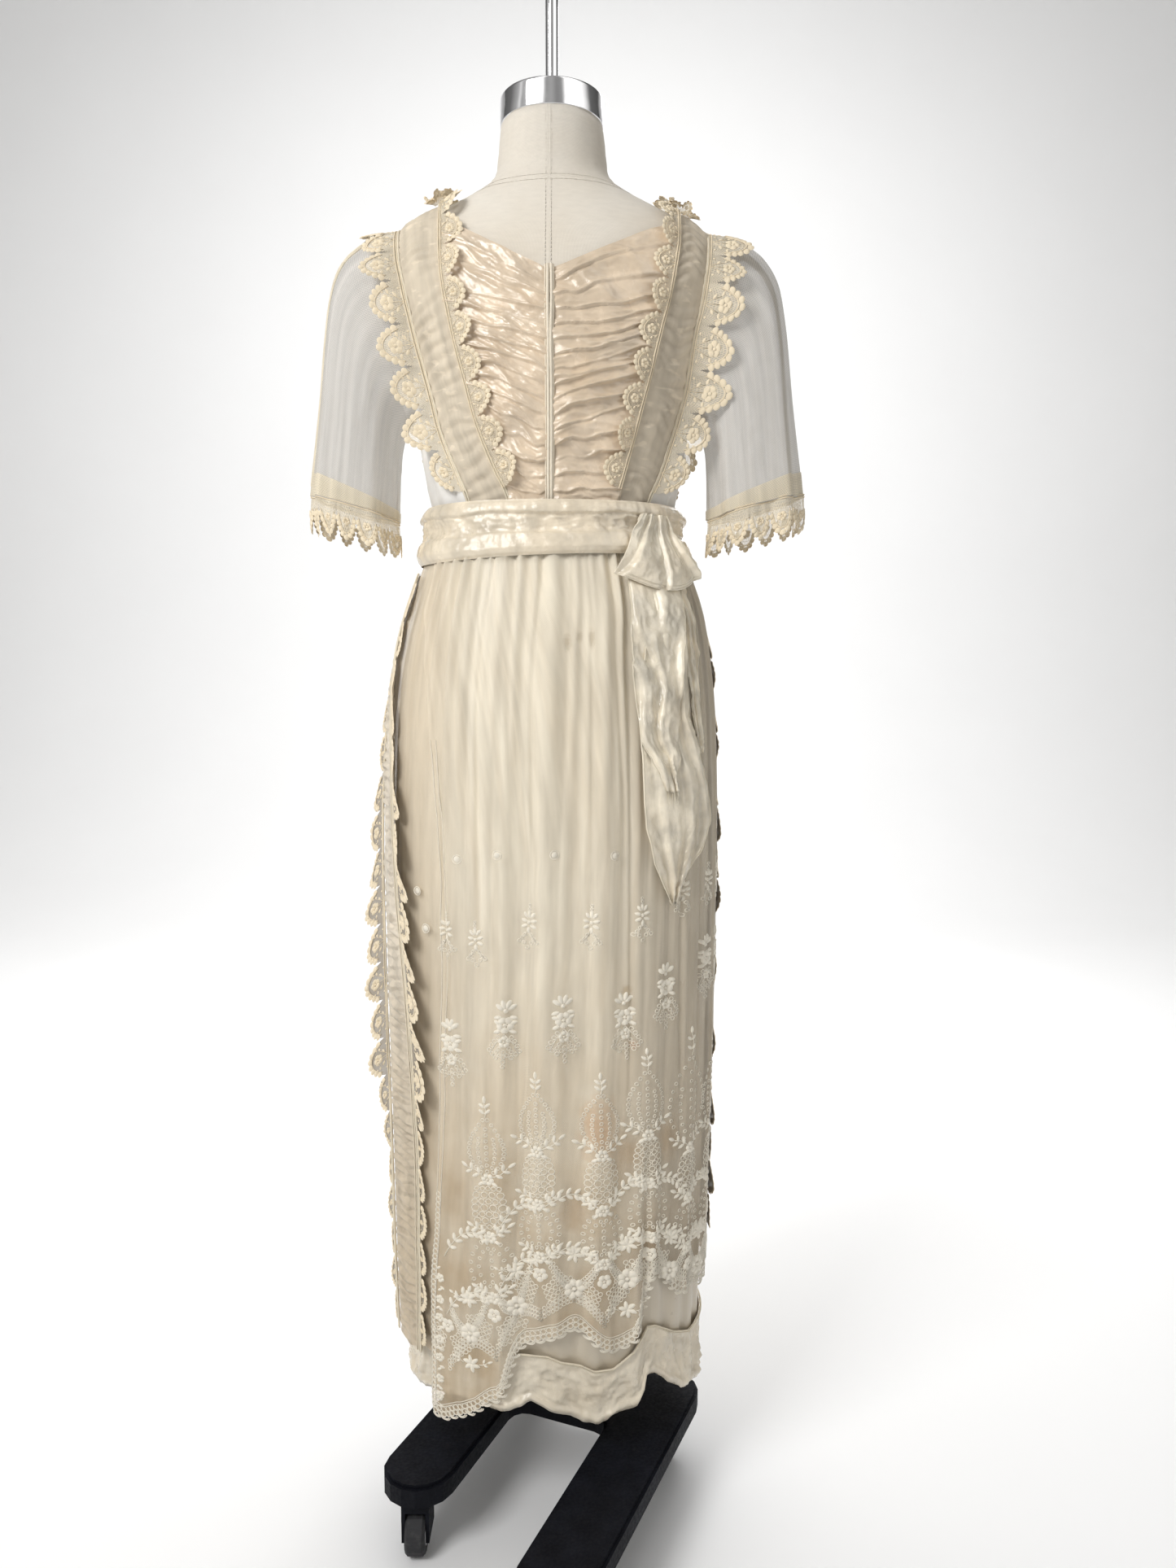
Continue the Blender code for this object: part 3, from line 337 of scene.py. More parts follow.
def band_edge(side, along, edge):
    """Signed x of an edge of a shoulder band."""
    column = BAND_COLUMNS.index(f"{side}_{edge}") - 1
    return SIDES[side] * read(BAND, along)[..., column]


def skirt_point(angle, z, out=0.0):
    """Point of the skirt's surface, moved out level."""
    point = section_point(SKIRT, angle, z, centred=True)
    beside = section_point(SKIRT, np.asarray(angle) + 0.5, z, centred=True)
    before = section_point(SKIRT, np.asarray(angle) - 0.5, z, centred=True)
    along = beside - before
    normal = unit(np.stack([along[..., 1], -along[..., 0], np.zeros_like(along[..., 0])], -1))
    return point + normal * np.asarray(out)[..., None]


def skirt_normal(angle, z):
    return skirt_point(angle, z, 1.0) - skirt_point(angle, z, 0.0)


def smoothstep(value, low, high):
    t = np.clip((value - low) / (high - low), 0.0, 1.0)
    return t * t * (3 - 2 * t)


def skirt_fold(angle, z):
    """Fold height of the overskirt: none at the belt and beside the free edge."""
    grown = smoothstep(SKIRT_TOP - z, 0.01, 0.16)
    from_edge = np.abs((np.asarray(angle) + 46.0 + 180.0) % 360.0 - 180.0)
    calm = smoothstep(from_edge, 20.0, 36.0)
    wave = np.cos(np.radians(SKIRT_FOLDS * angle + 40.0 * np.sin(np.radians(3 * angle))))
    return SKIRT_FOLD_DEPTH * grown * calm * wave


def armhole(turn, grow=0.0):
    """Depth and height of a point of the armhole, turn 0 at the top."""
    y = SLEEVE_Y + (ARMHOLE_HALF_DEPTH + grow) * np.sin(turn)
    z = ARMHOLE_Z + (ARMHOLE_HALF_HEIGHT + grow) * np.cos(turn)
    return y, z


def belt_point(angle, height, out):
    z = BELT_LOW + (BELT_HIGH - BELT_LOW) * height
    point = skirt_point(angle, np.minimum(z, BELT_CARRIER_TOP), out)
    point[..., 2] = z
    return point


def robing_line(side, z, shift):
    """Angle of a line along a robing, shifted in metres from its middle."""
    column = ROBING_COLUMNS.index(f"{side}_angle") - 1
    return read(ROBING, z)[..., column] + np.degrees(shift / SKIRT_RADIUS)


def scallop(phase):
    """Depth of a bell-shaped scallop along its pitch, 0 in the notches and 1 at the tip."""
    return np.abs(np.sin(np.pi * np.asarray(phase))) ** 0.6


# Making of meshes


def hashed(i, j, seed):
    """Even random value from -1 to 1 for each lattice cell, the same in every run."""
    value = np.sin(i * 127.1 + j * 311.7 + seed * 74.7) * 43758.5453
    return 2.0 * (value - np.floor(value)) - 1.0


def noise(x, y, seed=0.0):
    """Smooth noise from -1 to 1 on a lattice of unit cells."""
    x, y = np.broadcast_arrays(np.asarray(x, float), np.asarray(y, float))
    i, j = np.floor(x), np.floor(y)
    s, t = x - i, y - j
    s, t = s * s * (3 - 2 * s), t * t * (3 - 2 * t)
    low = hashed(i, j, seed) * (1 - s) + hashed(i + 1, j, seed) * s
    high = hashed(i, j + 1, seed) * (1 - s) + hashed(i + 1, j + 1, seed) * s
    return low * (1 - t) + high * t


def crumple(x, y, octaves=3, seed=0.0):
    """Noise of several sizes, each half as high and twice as fine as the one before."""
    total = 0.0
    for k in range(octaves):
        total = total + noise(x * 2**k, y * 2**k, seed + 11 * k) / 2**k
    return total


def creases(x, y, octaves=3, seed=0.0):
    """Sharp-edged noise from 0 to 1, as in crushed silk."""
    total = 0.0
    for k in range(octaves):
        total = total + (1 - np.abs(noise(x * 2**k, y * 2**k, seed + 7 * k))) ** 2 / 2**k
    return total / (2 - 0.5 ** (octaves - 1))


def show(name, data):
    """Object with its data, in the scene."""
    piece = bpy.data.objects.new(name, data)
    bpy.context.scene.collection.objects.link(piece)
    return piece


def add_mesh(name, points, corners, sizes, uv, finish):
    """Mesh object from points about the pole, face corners, corner counts and corner UVs."""
    data = bpy.data.meshes.new(name)
    placed = np.asarray(points, float).reshape(-1, 3) + PLACE
    starts = np.concatenate([[0], np.cumsum(sizes)[:-1]]).astype(np.int32)
    data.vertices.add(len(placed))
    data.vertices.foreach_set("co", placed.ravel())
    data.loops.add(len(corners))
    data.polygons.add(len(sizes))
    data.polygons.foreach_set("loop_start", starts)
    data.polygons.foreach_set("vertices", np.asarray(corners, np.int32))
    data.update(calc_edges=True)
    data.uv_layers.new(name="UVMap").data.foreach_set("uv", np.asarray(uv, float).ravel())
    data.polygons.foreach_set("use_smooth", np.ones(len(sizes), bool))
    data.materials.append(finish)
    return show(name, data)


def settle(piece, node=None, body=DRESS_BODY):
    """Hang a piece on the body it rides on, and hide the node it stands for."""
    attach(piece, body)
    if node:
        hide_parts(node)
    return piece


def cloth(name, points, finish, slot, node, flat, held, under, cut=1.0, **shape):
    """Sheet that stands for a node, which it hides.

    cut, the share of the flat's rectangle that the cloth takes up, is not used.
    """
    piece = settle(sheet_mesh(name, points, finish, **shape), node)


def lengths(points):
    """Distances run along the first axis of a line of points."""
    steps = np.linalg.norm(np.diff(points, axis=0), axis=-1)
    return np.concatenate([[0.0], np.cumsum(steps)])


def facing(points, side):
    """Points with their columns turned about on the left side, so that faces look outwards."""
    return points[:, ::-1] if side == "left" else points


def sheet_mesh(name, points, finish, ring=False, thick=0.0):
    """Sheet from a grid of points (rows up, columns to the right), UVs in metres of cloth.

    A ring's last column meets its first.
    """
    rows, columns = points.shape[:2]
    closed = np.concatenate([points, points[:, :1]], axis=1) if ring else points
    along, up = lengths(closed[rows // 2]), lengths(closed[:, columns // 2])
    r, c = np.indices((rows - 1, closed.shape[1] - 1)).reshape(2, -1)
    around = [(r, c), (r, c + 1), (r + 1, c + 1), (r + 1, c)]
    corners = np.stack([a * columns + b % columns for a, b in around], -1)
    uv = np.stack([np.stack([along[b], up[a]], -1) for a, b in around], 1)
    piece = add_mesh(name, points, corners.ravel(), np.full(len(corners), 4), uv, finish)
    if thick:
        wall = piece.modifiers.new("Wall", "SOLIDIFY")
        wall.thickness = thick
        wall.offset = 0.0
        wall.use_even_offset = True
    return piece


def tube_faces(rings, sides, closed, shown):
    """Quads between rings of points; an arch shows fewer sides than its points make."""
    i, k = np.indices((rings if closed else rings - 1, shown))
    j, m = (i + 1) % rings, (k + 1) % sides
    return np.stack([i * sides + k, j * sides + k, j * sides + m, i * sides + m], -1).reshape(-1, 4)


# Added to a length before it divides, so that a stitch of no length does no harm
TINY = 1e-12


class Threadwork:
    """Raised stitches, laid out flat on a chart and then placed on a surface.

    surface takes arrays of chart u, chart v and height, and gives points.
    """

    def __init__(self, surface):
        self.surface = surface
        self.chart, self.uv, self.quads, self.tris, self.placed = [], [], [], [], []
        self.count = 0
        self.stand(0.0, 0.0)

    def stand(self, u, v, turn=0.0, size=1.0, stretch=(1.0, 1.0)):
        """Where the next stitches go: chart place, turn in degrees, size and chart units a metre."""
        self.at = (u, v, *cos_sin(turn), size, stretch)

    def put(self, flat, uv, quads=(), tris=()):
        u, v, c, s, size, stretch = self.at
        x, y = flat[:, 0] * size, flat[:, 1] * size
        placed = np.stack([u + (c * x - s * y) * stretch[0], v + (s * x + c * y) * stretch[1],
                           flat[:, 2]], -1)
        self.chart.append(placed)
        self.uv.append(np.asarray(uv, float) * size)
        if len(quads):
            self.quads.append(np.asarray(quads) + self.count)
        if len(tris):
            self.tris.append(np.asarray(tris) + self.count)
        self.count += len(flat)

    def thread(self, path, width, closed=False, sides=4):
        """Thread of a given width along a flat path of x, y and, if given, height.

        Three sides make an arch that is open below; more make a round thread.
        """
        path = np.asarray(path, float)
        if path.shape[1] == 2:
            path = np.column_stack([path, np.zeros(len(path))])
        ahead = np.roll(path, -1, 0) - np.roll(path, 1, 0) if closed else np.gradient(path, axis=0)
        side = unit(np.stack([ahead[:, 1], -ahead[:, 0]], -1), TINY)
        arch = sides == 3
        turn = np.pi * np.arange(sides) / 2 if arch else 2 * np.pi * np.arange(sides) / sides
        across = width / 2 * np.cos(turn)
        height = width / 2 * (1.4 * np.sin(turn) if arch else np.sin(turn) + 0.7)
        flat = np.stack([path[:, None, 0] + side[:, None, 0] * across,
                         path[:, None, 1] + side[:, None, 1] * across,
                         path[:, None, 2] + height], -1).reshape(-1, 3)
        run = lengths(path[:, :2])
        uv = np.stack(np.broadcast_arrays(run[:, None], (turn * width / 2)[None, :]), -1).reshape(-1, 2)
        quads = tube_faces(len(path), sides, closed, 2 if arch else sides)
        if sides == 4:
            last = (len(path) - 1) * sides
            quads = np.concatenate([quads, [(0, 1, 2, 3), (last + 3, last + 2, last + 1, last)]])
        self.put(flat, uv, quads)

    def run(self, u, v, height, width, sides=6, closed=False):
        """Thread along a path in the chart's own units of u, v and height, round in space."""
        u, v, height = np.stack(np.broadcast_arrays(u, v, height))
        centre = self.surface(u, v, height)
        above = self.surface(u, v, height + 0.001) - centre
        ahead = np.roll(centre, -1, 0) - np.roll(centre, 1, 0) if closed else np.gradient(centre, axis=0)
        side, above = unit(np.cross(ahead, above), TINY), unit(above, TINY)
        turn = 2 * np.pi * np.arange(sides)[None, :, None] / sides
        round_ = side[:, None] * np.cos(turn) + above[:, None] * np.sin(turn)
        around = centre[:, None] + width / 2 * round_
        uv = np.stack(np.broadcast_arrays(lengths(centre)[:, None], width / 2 * turn[0, :, 0]), -1)
        quads = tube_faces(len(centre), sides, closed, sides)
        self.placed.append((around.reshape(-1, 3), uv.reshape(-1, 2), quads))

    def ring(self, x, y, radius, width, squash=1.0, turn=0.0, steps=10, part=1.0):
        """Ring or arc of thread round a point."""
        sweep = 2 * np.pi * part * np.arange(steps) / (steps if part == 1.0 else steps - 1)
        c, s = cos_sin(turn)
        px, py = radius * np.cos(sweep), radius * squash * np.sin(sweep)
        path = np.stack([x + c * px - s * py, y + s * px + c * py], -1)
        self.thread(path, width, closed=part == 1.0, sides=3)

    def petal(self, x, y, length, width, turn=0.0, high=0.0012, pointed=1.0):
        """Padded leaf from its root at a point, along a turn in degrees from up."""
        steps = 10
        sweep = 2 * np.pi * np.arange(steps) / steps
        px = width / 2 * power(np.sin(sweep), pointed)
        py = length / 2 * (1 - np.cos(sweep))
        outline = np.stack([px, py, np.zeros(steps)], -1)
        middle = np.array([0.0, length * 0.52, 0.0])
        shoulder = middle + (outline - middle) * 0.66
        shoulder[:, 2] = high * 0.8
        top = middle + np.array([0.0, 0.0, high])
        flat = np.concatenate([outline, shoulder, top[None, :]])
        uv = flat[:, :2].copy()
        c, s = cos_sin(turn)
        flat[:, 0], flat[:, 1] = x + c * flat[:, 0] - s * flat[:, 1], y + s * flat[:, 0] + c * flat[:, 1]
        k = np.arange(steps)
        m = (k + 1) % steps
        quads = np.stack([k, k + steps, m + steps, m], -1)
        tris = np.stack([k + steps, np.full(steps, 2 * steps), m + steps], -1)
        self.put(flat, uv, quads, tris)

    def dot(self, x, y, radius, high=None):
        self.petal(x, y - radius, 2 * radius, 2 * radius, 0.0, high or radius * 0.8)

    def flower(self, x, y, radius, petals=5, turn=0.0, plump=0.9, high=0.0012):
        """Petals round an eye."""
        root = radius * 0.22
        for k in range(petals):
            way = turn + 360.0 * k / petals
            c, s = cos_sin(way)
            self.petal(x - s * root, y + c * root, radius * 0.78, radius * plump, way, high)
        self.dot(x, y, root, high * 1.1)

    def piece(self, name, finish):
        """Mesh of all the stitches."""
        points, uv, quads, tris = [], list(self.uv), list(self.quads), list(self.tris)
        if self.chart:
            chart = np.concatenate(self.chart)
            points.append(self.surface(chart[:, 0], chart[:, 1], chart[:, 2]))
        count = self.count
        for around, around_uv, around_quads in self.placed:
            points.append(around)
            uv.append(around_uv)
            quads.append(around_quads + count)
            count += len(around)
        faces = [np.concatenate(group) for group in (quads, tris) if group]
        corners = np.concatenate([group.ravel() for group in faces])
        sizes = np.concatenate([np.full(len(group), group.shape[1]) for group in faces])
        uv = np.concatenate(uv)[corners]
        return add_mesh(name, np.concatenate(points), corners, sizes, uv, finish)


def turned(name, profile, finish, sides=96):
    """Closed body turned about the pole from a profile of radius and height, bottom first."""
    radius, z = np.transpose(profile)
    turn = 2 * np.pi * np.arange(sides) / sides
    points = np.stack([radius[:, None] * np.sin(turn), -radius[:, None] * np.cos(turn),
                       z[:, None] + 0 * turn], -1)
    return sheet_mesh(name, points, finish, ring=True)


# Finishes


class Nodes:
    """Node tree put together by short calls."""

    def __init__(self, tree):
        self.tree = tree

    def node(self, kind, inputs=None, **settings):
        """New node with its settings, and its inputs linked or set."""
        made = self.tree.nodes.new("ShaderNode" + kind)
        for key, value in settings.items():
            setattr(made, key, value)
        for key, value in (inputs or {}).items():
            if isinstance(value, bpy.types.NodeSocket):
                self.tree.links.new(value, made.inputs[key])
            else:
                made.inputs[key].default_value = value
        return made

    def maths(self, operation, first, second, clamp=False):
        return self.node("Math", {0: first, 1: second}, operation=operation, use_clamp=clamp).outputs[0]


class Finish(Nodes):
    """Principled material."""

    def __init__(self, name, colour, roughness, **values):
        self.material = bpy.data.materials.new(name)
        self.material.use_nodes = True
        super().__init__(self.material.node_tree)
        self.shader = self.tree.nodes["Principled BSDF"]
        self.shader.inputs["Base Color"].default_value = (*colour, 1.0)
        self.shader.inputs["Roughness"].default_value = roughness
        for key, value in values.items():
            self.shader.inputs[key.replace("_", " ").title().replace("Ior", "IOR")].default_value = value
        self.cloth = self.node("UVMap", uv_map="UVMap").outputs["UV"]
        self.place = self.node("TexCoord").outputs["Object"]

    def spread(self, value, low, high, to_low=0.0, to_high=1.0):
        """Value moved from one range to another and held inside it."""
        inputs = {"Value": value, "From Min": low, "From Max": high, "To Min": to_low, "To Max": to_high}
        return self.node("MapRange", inputs).outputs["Result"]

    def mix(self, share, first, second):
        """Colour between two colours."""
        return self.node("Mix", {0: share, 6: first, 7: second}, data_type="RGBA").outputs[2]

    def bands(self, pitch, vector, direction="X", distortion=0.0, detail_scale=1.0):
        """Threads side by side at a pitch in metres, from 0 to 1."""
        inputs = {"Vector": vector, "Scale": math.pi / 10 / pitch, "Distortion": distortion,
                  "Detail Scale": detail_scale}
        made = self.node("TexWave", inputs, wave_type="BANDS", bands_direction=direction)
        return made.outputs["Fac"]

    def blotches(self, size, detail=3.0, vector=None, roughness=0.5):
        """Soft noise with features of a size in metres, from 0 to 1."""
        inputs = {"Vector": vector or self.place, "Scale": 1.0 / size, "Detail": detail,
                  "Roughness": roughness}
        return self.node("TexNoise", inputs).outputs["Fac"]

    def turned(self, degrees, scale=(1.0, 1.0, 1.0)):
        """Cloth coordinates turned and scaled."""
        inputs = {"Vector": self.cloth, "Rotation": (0, 0, math.radians(degrees)), "Scale": scale}
        return self.node("Mapping", inputs).outputs["Vector"]

    def stain(self, colour, centre, size, stain_colour, strength):
        """Colour with a soft mark about a point of the part's frame."""
        away = self.node("VectorMath", {0: self.place, 1: tuple(centre)}, operation="SUBTRACT")
        scaled = self.node("VectorMath", {0: away.outputs["Vector"], 1: tuple(1.0 / s for s in size)},
                           operation="MULTIPLY")
        reach = self.node("VectorMath", {0: scaled.outputs["Vector"]}, operation="LENGTH")
        uneven = self.spread(self.blotches(min(size) * 0.6), 0, 1, -0.5, 0.5)
        ragged = self.maths("ADD", reach.outputs["Value"], uneven)
        share = self.spread(ragged, 0.35, 1.15, strength, 0.0)
        return self.mix(share, colour, (*stain_colour, 1.0))

    def link(self, socket, value):
        self.tree.links.new(value, self.shader.inputs[socket])

    def bump(self, height, distance, strength=1.0):
        inputs = {"Height": height, "Distance": distance, "Strength": strength}
        self.link("Normal", self.node("Bump", inputs).outputs["Normal"])


def shade(colour, by):
    return (*(min(1.0, channel * by) for channel in colour), 1.0)


def linen_finish():
    colour = (0.80, 0.745, 0.655)
    f = Finish("linen", colour, 0.85, sheen_weight=0.15, specular_ior_level=0.25)
    # Plain weave, from the pitches of its two threads
    warp, weft = f.bands(0.0010, f.cloth, "X", 0.6, 4.0), f.bands(0.0011, f.cloth, "Y", 0.6, 4.0)
    threads = f.maths("ADD", f.maths("MULTIPLY", warp, 0.5), f.maths("MULTIPLY", weft, 0.5))
    slub = f.blotches(0.004, 4.0, f.turned(0, (0.25, 1.0, 1.0)))
    height = f.maths("ADD", threads, f.maths("MULTIPLY", slub, 0.6))
    woven = f.mix(f.spread(height, 0.35, 1.2), shade(colour, 0.86), shade(colour, 1.10))
    aged = f.mix(f.spread(f.blotches(0.09), 0.35, 0.75, 0.0, 0.30), woven, (0.62, 0.52, 0.38, 1.0))
    f.link("Base Color", aged)
    f.bump(height, 0.0004, 0.6)
    return f.material


def satin_finish(name, colour, roughness=0.34, dark=0.80, crushed=0.0007):
    """Silk satin: fine ribs along the weft, soft marks and a broad gloss."""
    f = Finish(name, colour, roughness, sheen_weight=0.05, specular_ior_level=0.80)
    ribs = f.bands(0.0006, f.cloth, "Y", 0.4, 3.0)
    rub = f.blotches(0.030, 3.0)
    crinkle = f.blotches(0.006, 3.0, None, 0.45)
    soft = f.mix(f.spread(rub, 0.35, 0.68), shade(colour, dark), shade(colour, 1.04))
    aged = f.mix(f.spread(f.blotches(0.05), 0.45, 0.80, 0.0, 0.25), soft,
                 (colour[0] * 0.86, colour[1] * 0.74, colour[2] * 0.58, 1.0))
    f.tone = aged
    f.link("Base Color", aged)
    f.link("Roughness", f.spread(rub, 0.2, 0.8, roughness - 0.06, roughness + 0.12))
    height = f.maths("ADD", f.maths("MULTIPLY", ribs, 0.06), crinkle)
    f.bump(height, crushed, 0.35)
    return f


def net_finish(name, colour, thread, holes, pitch, flecks=0.0):
    """Fine net: thread and hole shares of cover, with pale flecks where it is spotted."""
    f = Finish(name, colour, 0.8, sheen_weight=0.15, specular_ior_level=0.2)
    slant = f.turned(45.0)
    one, two = f.bands(pitch, slant, "X"), f.bands(pitch, slant, "Y")
    mesh = f.maths("MAXIMUM", one, two)
    cover = f.spread(mesh, 0.45, 0.80, holes, thread)
    soft = f.blotches(0.016, 3.0, f.turned(0, (1.0, 0.12, 1.0)))
    tone = f.mix(f.spread(soft, 0.3, 0.7), shade(colour, 0.88), shade(colour, 1.07))
    if flecks:
        pale = f.blotches(flecks, 2.0, f.turned(30, (0.5, 1.0, 1.0)))
        fleck = f.spread(pale, 0.60, 0.70, 0.0, 0.8)
        tone = f.mix(fleck, tone, shade(colour, 1.25))
    f.tone = tone
    f.link("Base Color", tone)
    dense = f.spread(soft, 0.3, 0.7, 0.86, 1.10)
    f.link("Alpha", f.maths("MULTIPLY", cover, dense, clamp=True))
    f.bump(mesh, 0.0003, 0.4)
    return f


def thread_finish(name, colour, roughness=0.75):
    """Cotton or silk thread, twisted along its length."""
    f = Finish(name, colour, roughness, sheen_weight=0.08, specular_ior_level=0.3)
    twist = f.bands(0.0006, f.turned(35.0), "X", 0.5, 2.0)
    worn = f.blotches(0.006, 3.0)
    tone = f.mix(f.spread(worn, 0.3, 0.7), shade(colour, 0.93), shade(colour, 1.05))
    stranded = f.mix(twist, shade(colour, 0.86), tone)
    f.link("Base Color", f.mix(0.6, stranded, tone))
    f.bump(twist, 0.0003, 0.6)
    return f


def chrome_finish():
    f = Finish("chrome", (0.86, 0.86, 0.87), 0.10, metallic=1.0)
    haze = f.blotches(0.02, 5.0)
    f.link("Roughness", f.spread(haze, 0.3, 0.8, 0.05, 0.17))
    f.link("Base Color", f.mix(haze, (0.80, 0.80, 0.82, 1.0), (0.90, 0.90, 0.91, 1.0)))
    f.bump(f.bands(0.0004, f.cloth, "Y", 1.0, 2.0), 0.00005, 0.15)
    return f.material


def iron_finish():
    f = Finish("black_iron", (0.004, 0.005, 0.008), 0.7, specular_ior_level=0.12)
    skin = f.blotches(0.0035, 6.0)
    f.link("Base Color", f.mix(f.spread(f.blotches(0.03), 0.4, 0.8), (0.003, 0.0035, 0.006, 1),
                               (0.008, 0.009, 0.014, 1)))
    f.link("Roughness", f.spread(skin, 0.3, 0.7, 0.50, 0.75))
    f.bump(skin, 0.0006, 0.5)
    return f.material


def rubber_finish():
    f = Finish("rubber", (0.02, 0.02, 0.02), 0.65, specular_ior_level=0.3)
    dust = f.blotches(0.008, 4.0)
    f.link("Base Color", f.mix(f.spread(dust, 0.5, 0.8), (0.022, 0.022, 0.024, 1),
                               (0.050, 0.049, 0.048, 1)))
    f.bump(dust, 0.0003, 0.4)
    return f.material


def steel_finish():
    f = Finish("zinc_steel", (0.55, 0.55, 0.56), 0.35, metallic=1.0)
    wear = f.blotches(0.004, 4.0)
    f.link("Roughness", f.spread(wear, 0.3, 0.7, 0.25, 0.5))
    f.link("Base Color", f.mix(wear, (0.40, 0.40, 0.41, 1), (0.62, 0.62, 0.63, 1)))
    return f.material


# Dress form


SEAM_BACK_X = -0.002
SEAM_NECK_Z = 1.500
SEAM_HALF_WIDTH = 0.0006
SEAM_DEPTH = 0.0005
WELT_HEIGHT = 0.0004
STITCH_LENGTH = 0.0032
STITCH_GAP = 0.0014
STITCH_FROM_SEAM = 0.0030
THREAD = 0.0004


def crowded(low, high, count, places, reach):
    """Even values from low to high, with more of them about some places."""
    even = list(np.linspace(low, high, count))
    for place in places:
        even += [place + reach * k / 5 for k in range(-7, 8)]
    even = sorted(value for value in even if low <= value <= high)
    kept = [even[0]]
    for value in even[1:]:
        if value - kept[-1] > reach * 0.15:
            kept.append(value)
    return np.array(kept)


def linen_surface(angle, z, height):
    """Linen cover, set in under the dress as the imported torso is, with sunk seams."""
    clear = FORM_CLEAR * (z < NECK_TOP - 0.02) + SHOULDER_CLEAR * smoothstep(z, 1.38, 1.42) * (
        1 - smoothstep(z, 1.462, 1.49))
    point = section_point(FORM, angle, z)
    back = np.abs(angle) < 40

    def seam(width):
        upright = np.exp(-((point[..., 0] - SEAM_BACK_X) / width) ** 2) * back
        return np.maximum(upright, np.exp(-((z - SEAM_NECK_Z) / width) ** 2))

    stretch = 0.0006 * noise(angle / 14, z / 0.05, 3.0) * (z > 1.40)
    sunk = SEAM_DEPTH * seam(SEAM_HALF_WIDTH)
    return lift(point, stretch - clear - sunk + WELT_HEIGHT * seam(4 * SEAM_HALF_WIDTH) + height)


def make_linen_form():
    degrees = crowded(-180.0, 180.0, 109, (math.degrees(math.asin(SEAM_BACK_X / 0.08)),), 1.6)[:-1]
    levels = crowded(FORM[0][0], NECK_TOP, 74, (SEAM_NECK_Z,), 0.0022)
    cover = linen_surface(*np.meshgrid(degrees, levels), 0.0)
    bore = POLE_RADIUS + GAP
    turn = np.radians(degrees)
    end = np.stack([bore * np.sin(turn), -bore * np.cos(turn), 0 * turn], -1)
    points = np.concatenate([[end + [0, 0, levels[0]]], cover, [end + [0, 0, levels[-1]]]])
    settle(sheet_mesh("linen_body", points, LINEN, ring=True), "form_torso")


def make_form_stitches():
    """Rows of stitches beside the seams of the linen cover."""
    work = Threadwork(linen_surface)
    step = STITCH_LENGTH + STITCH_GAP

    def stitch(angle, z, turn):
        radius = 0.066 if z > 1.46 else 0.10
        work.stand(angle, z, stretch=(math.degrees(1 / radius), 1.0))
        across, up = turn
        work.thread([(k * across * STITCH_LENGTH / 2, k * up * STITCH_LENGTH / 2, 0.00035 * (k == 0))
                     for k in (-1, 0, 1)], THREAD)

    for side in (-1, 1):
        for z in np.arange(1.395, NECK_TOP - 0.004, step):
            x = SEAM_BACK_X + side * STITCH_FROM_SEAM
            if abs(z - SEAM_NECK_Z) > 0.003:
                stitch(float(face_angle(np.array(x), np.array(z))), z, (0, 1))
        for angle in np.arange(-180.0, 180.0, math.degrees(step / 0.082)):
            stitch(angle, SEAM_NECK_Z + side * STITCH_FROM_SEAM, (1, 0))
    settle(work.piece("form_stitches", COTTON))


CAP_PROFILE = (
    # radius, height over the neck
    (0.0074, 0.0000), (0.0560, 0.0000), (0.0571, 0.0003), (0.0575, 0.0012), (0.0575, 0.0140),
    (0.0575, 0.0262), (0.0573, 0.0276), (0.0567, 0.0286), (0.0556, 0.0290), (0.0300, 0.0290),
    (0.0150, 0.0290), (0.0074, 0.0290),
)


def make_cap_and_pole():
    cap = turned("chrome_cap", [(r, NECK_TOP + h) for r, h in CAP_PROFILE], CHROME)
    settle(cap, "neck_cap")
    low, high = POLE_LOW.z, POLE_HIGH.z
    bevel = 0.0008
    profile = [(0.0002, low), (POLE_RADIUS - bevel, low), (POLE_RADIUS, low + bevel)]
    profile += [(POLE_RADIUS, low + (high - low) * k / 30) for k in range(1, 30)]
    profile += [(POLE_RADIUS, high - bevel), (POLE_RADIUS - bevel, high), (0.0002, high)]
    settle(turned("chrome_pole", profile, CHROME, 48), "pole")


# Bodice


BACK_ROWS = 230
BACK_COLUMNS = 78
# How the tucks run: share of the height at the closing, and height at the shoulder band
TUCK_RUN = (
    # share at the closing, height at the band
    (0.00, 1.136), (0.15, 1.180), (0.34, 1.248), (0.52, 1.300), (0.70, 1.342), (0.84, 1.378),
    (1.00, 1.457),
)
# Depth of the tucks, of the small gathers beside the band, of crushed satin and of its grain
TUCK_DEPTH = 0.0044
BACK_GATHER = 0.0011
BACK_CRUSH = 0.0066
SATIN_GRAIN = 0.0004
BACK_FROM_MIDDLE = 0.0026
BACK_SEEDS = {"left": 5.0, "right": 23.0}


def tuck_profile(phase):
    """Section of one tuck: a rounded lip at its lower edge that falls back upwards."""
    part = phase - np.floor(phase)
    lip = np.exp(-((part - 0.13) / 0.07) ** 2)
    return 0.70 * smoothstep(part, 0.0, 0.09) * (1 - part) ** 0.9 + 0.50 * lip


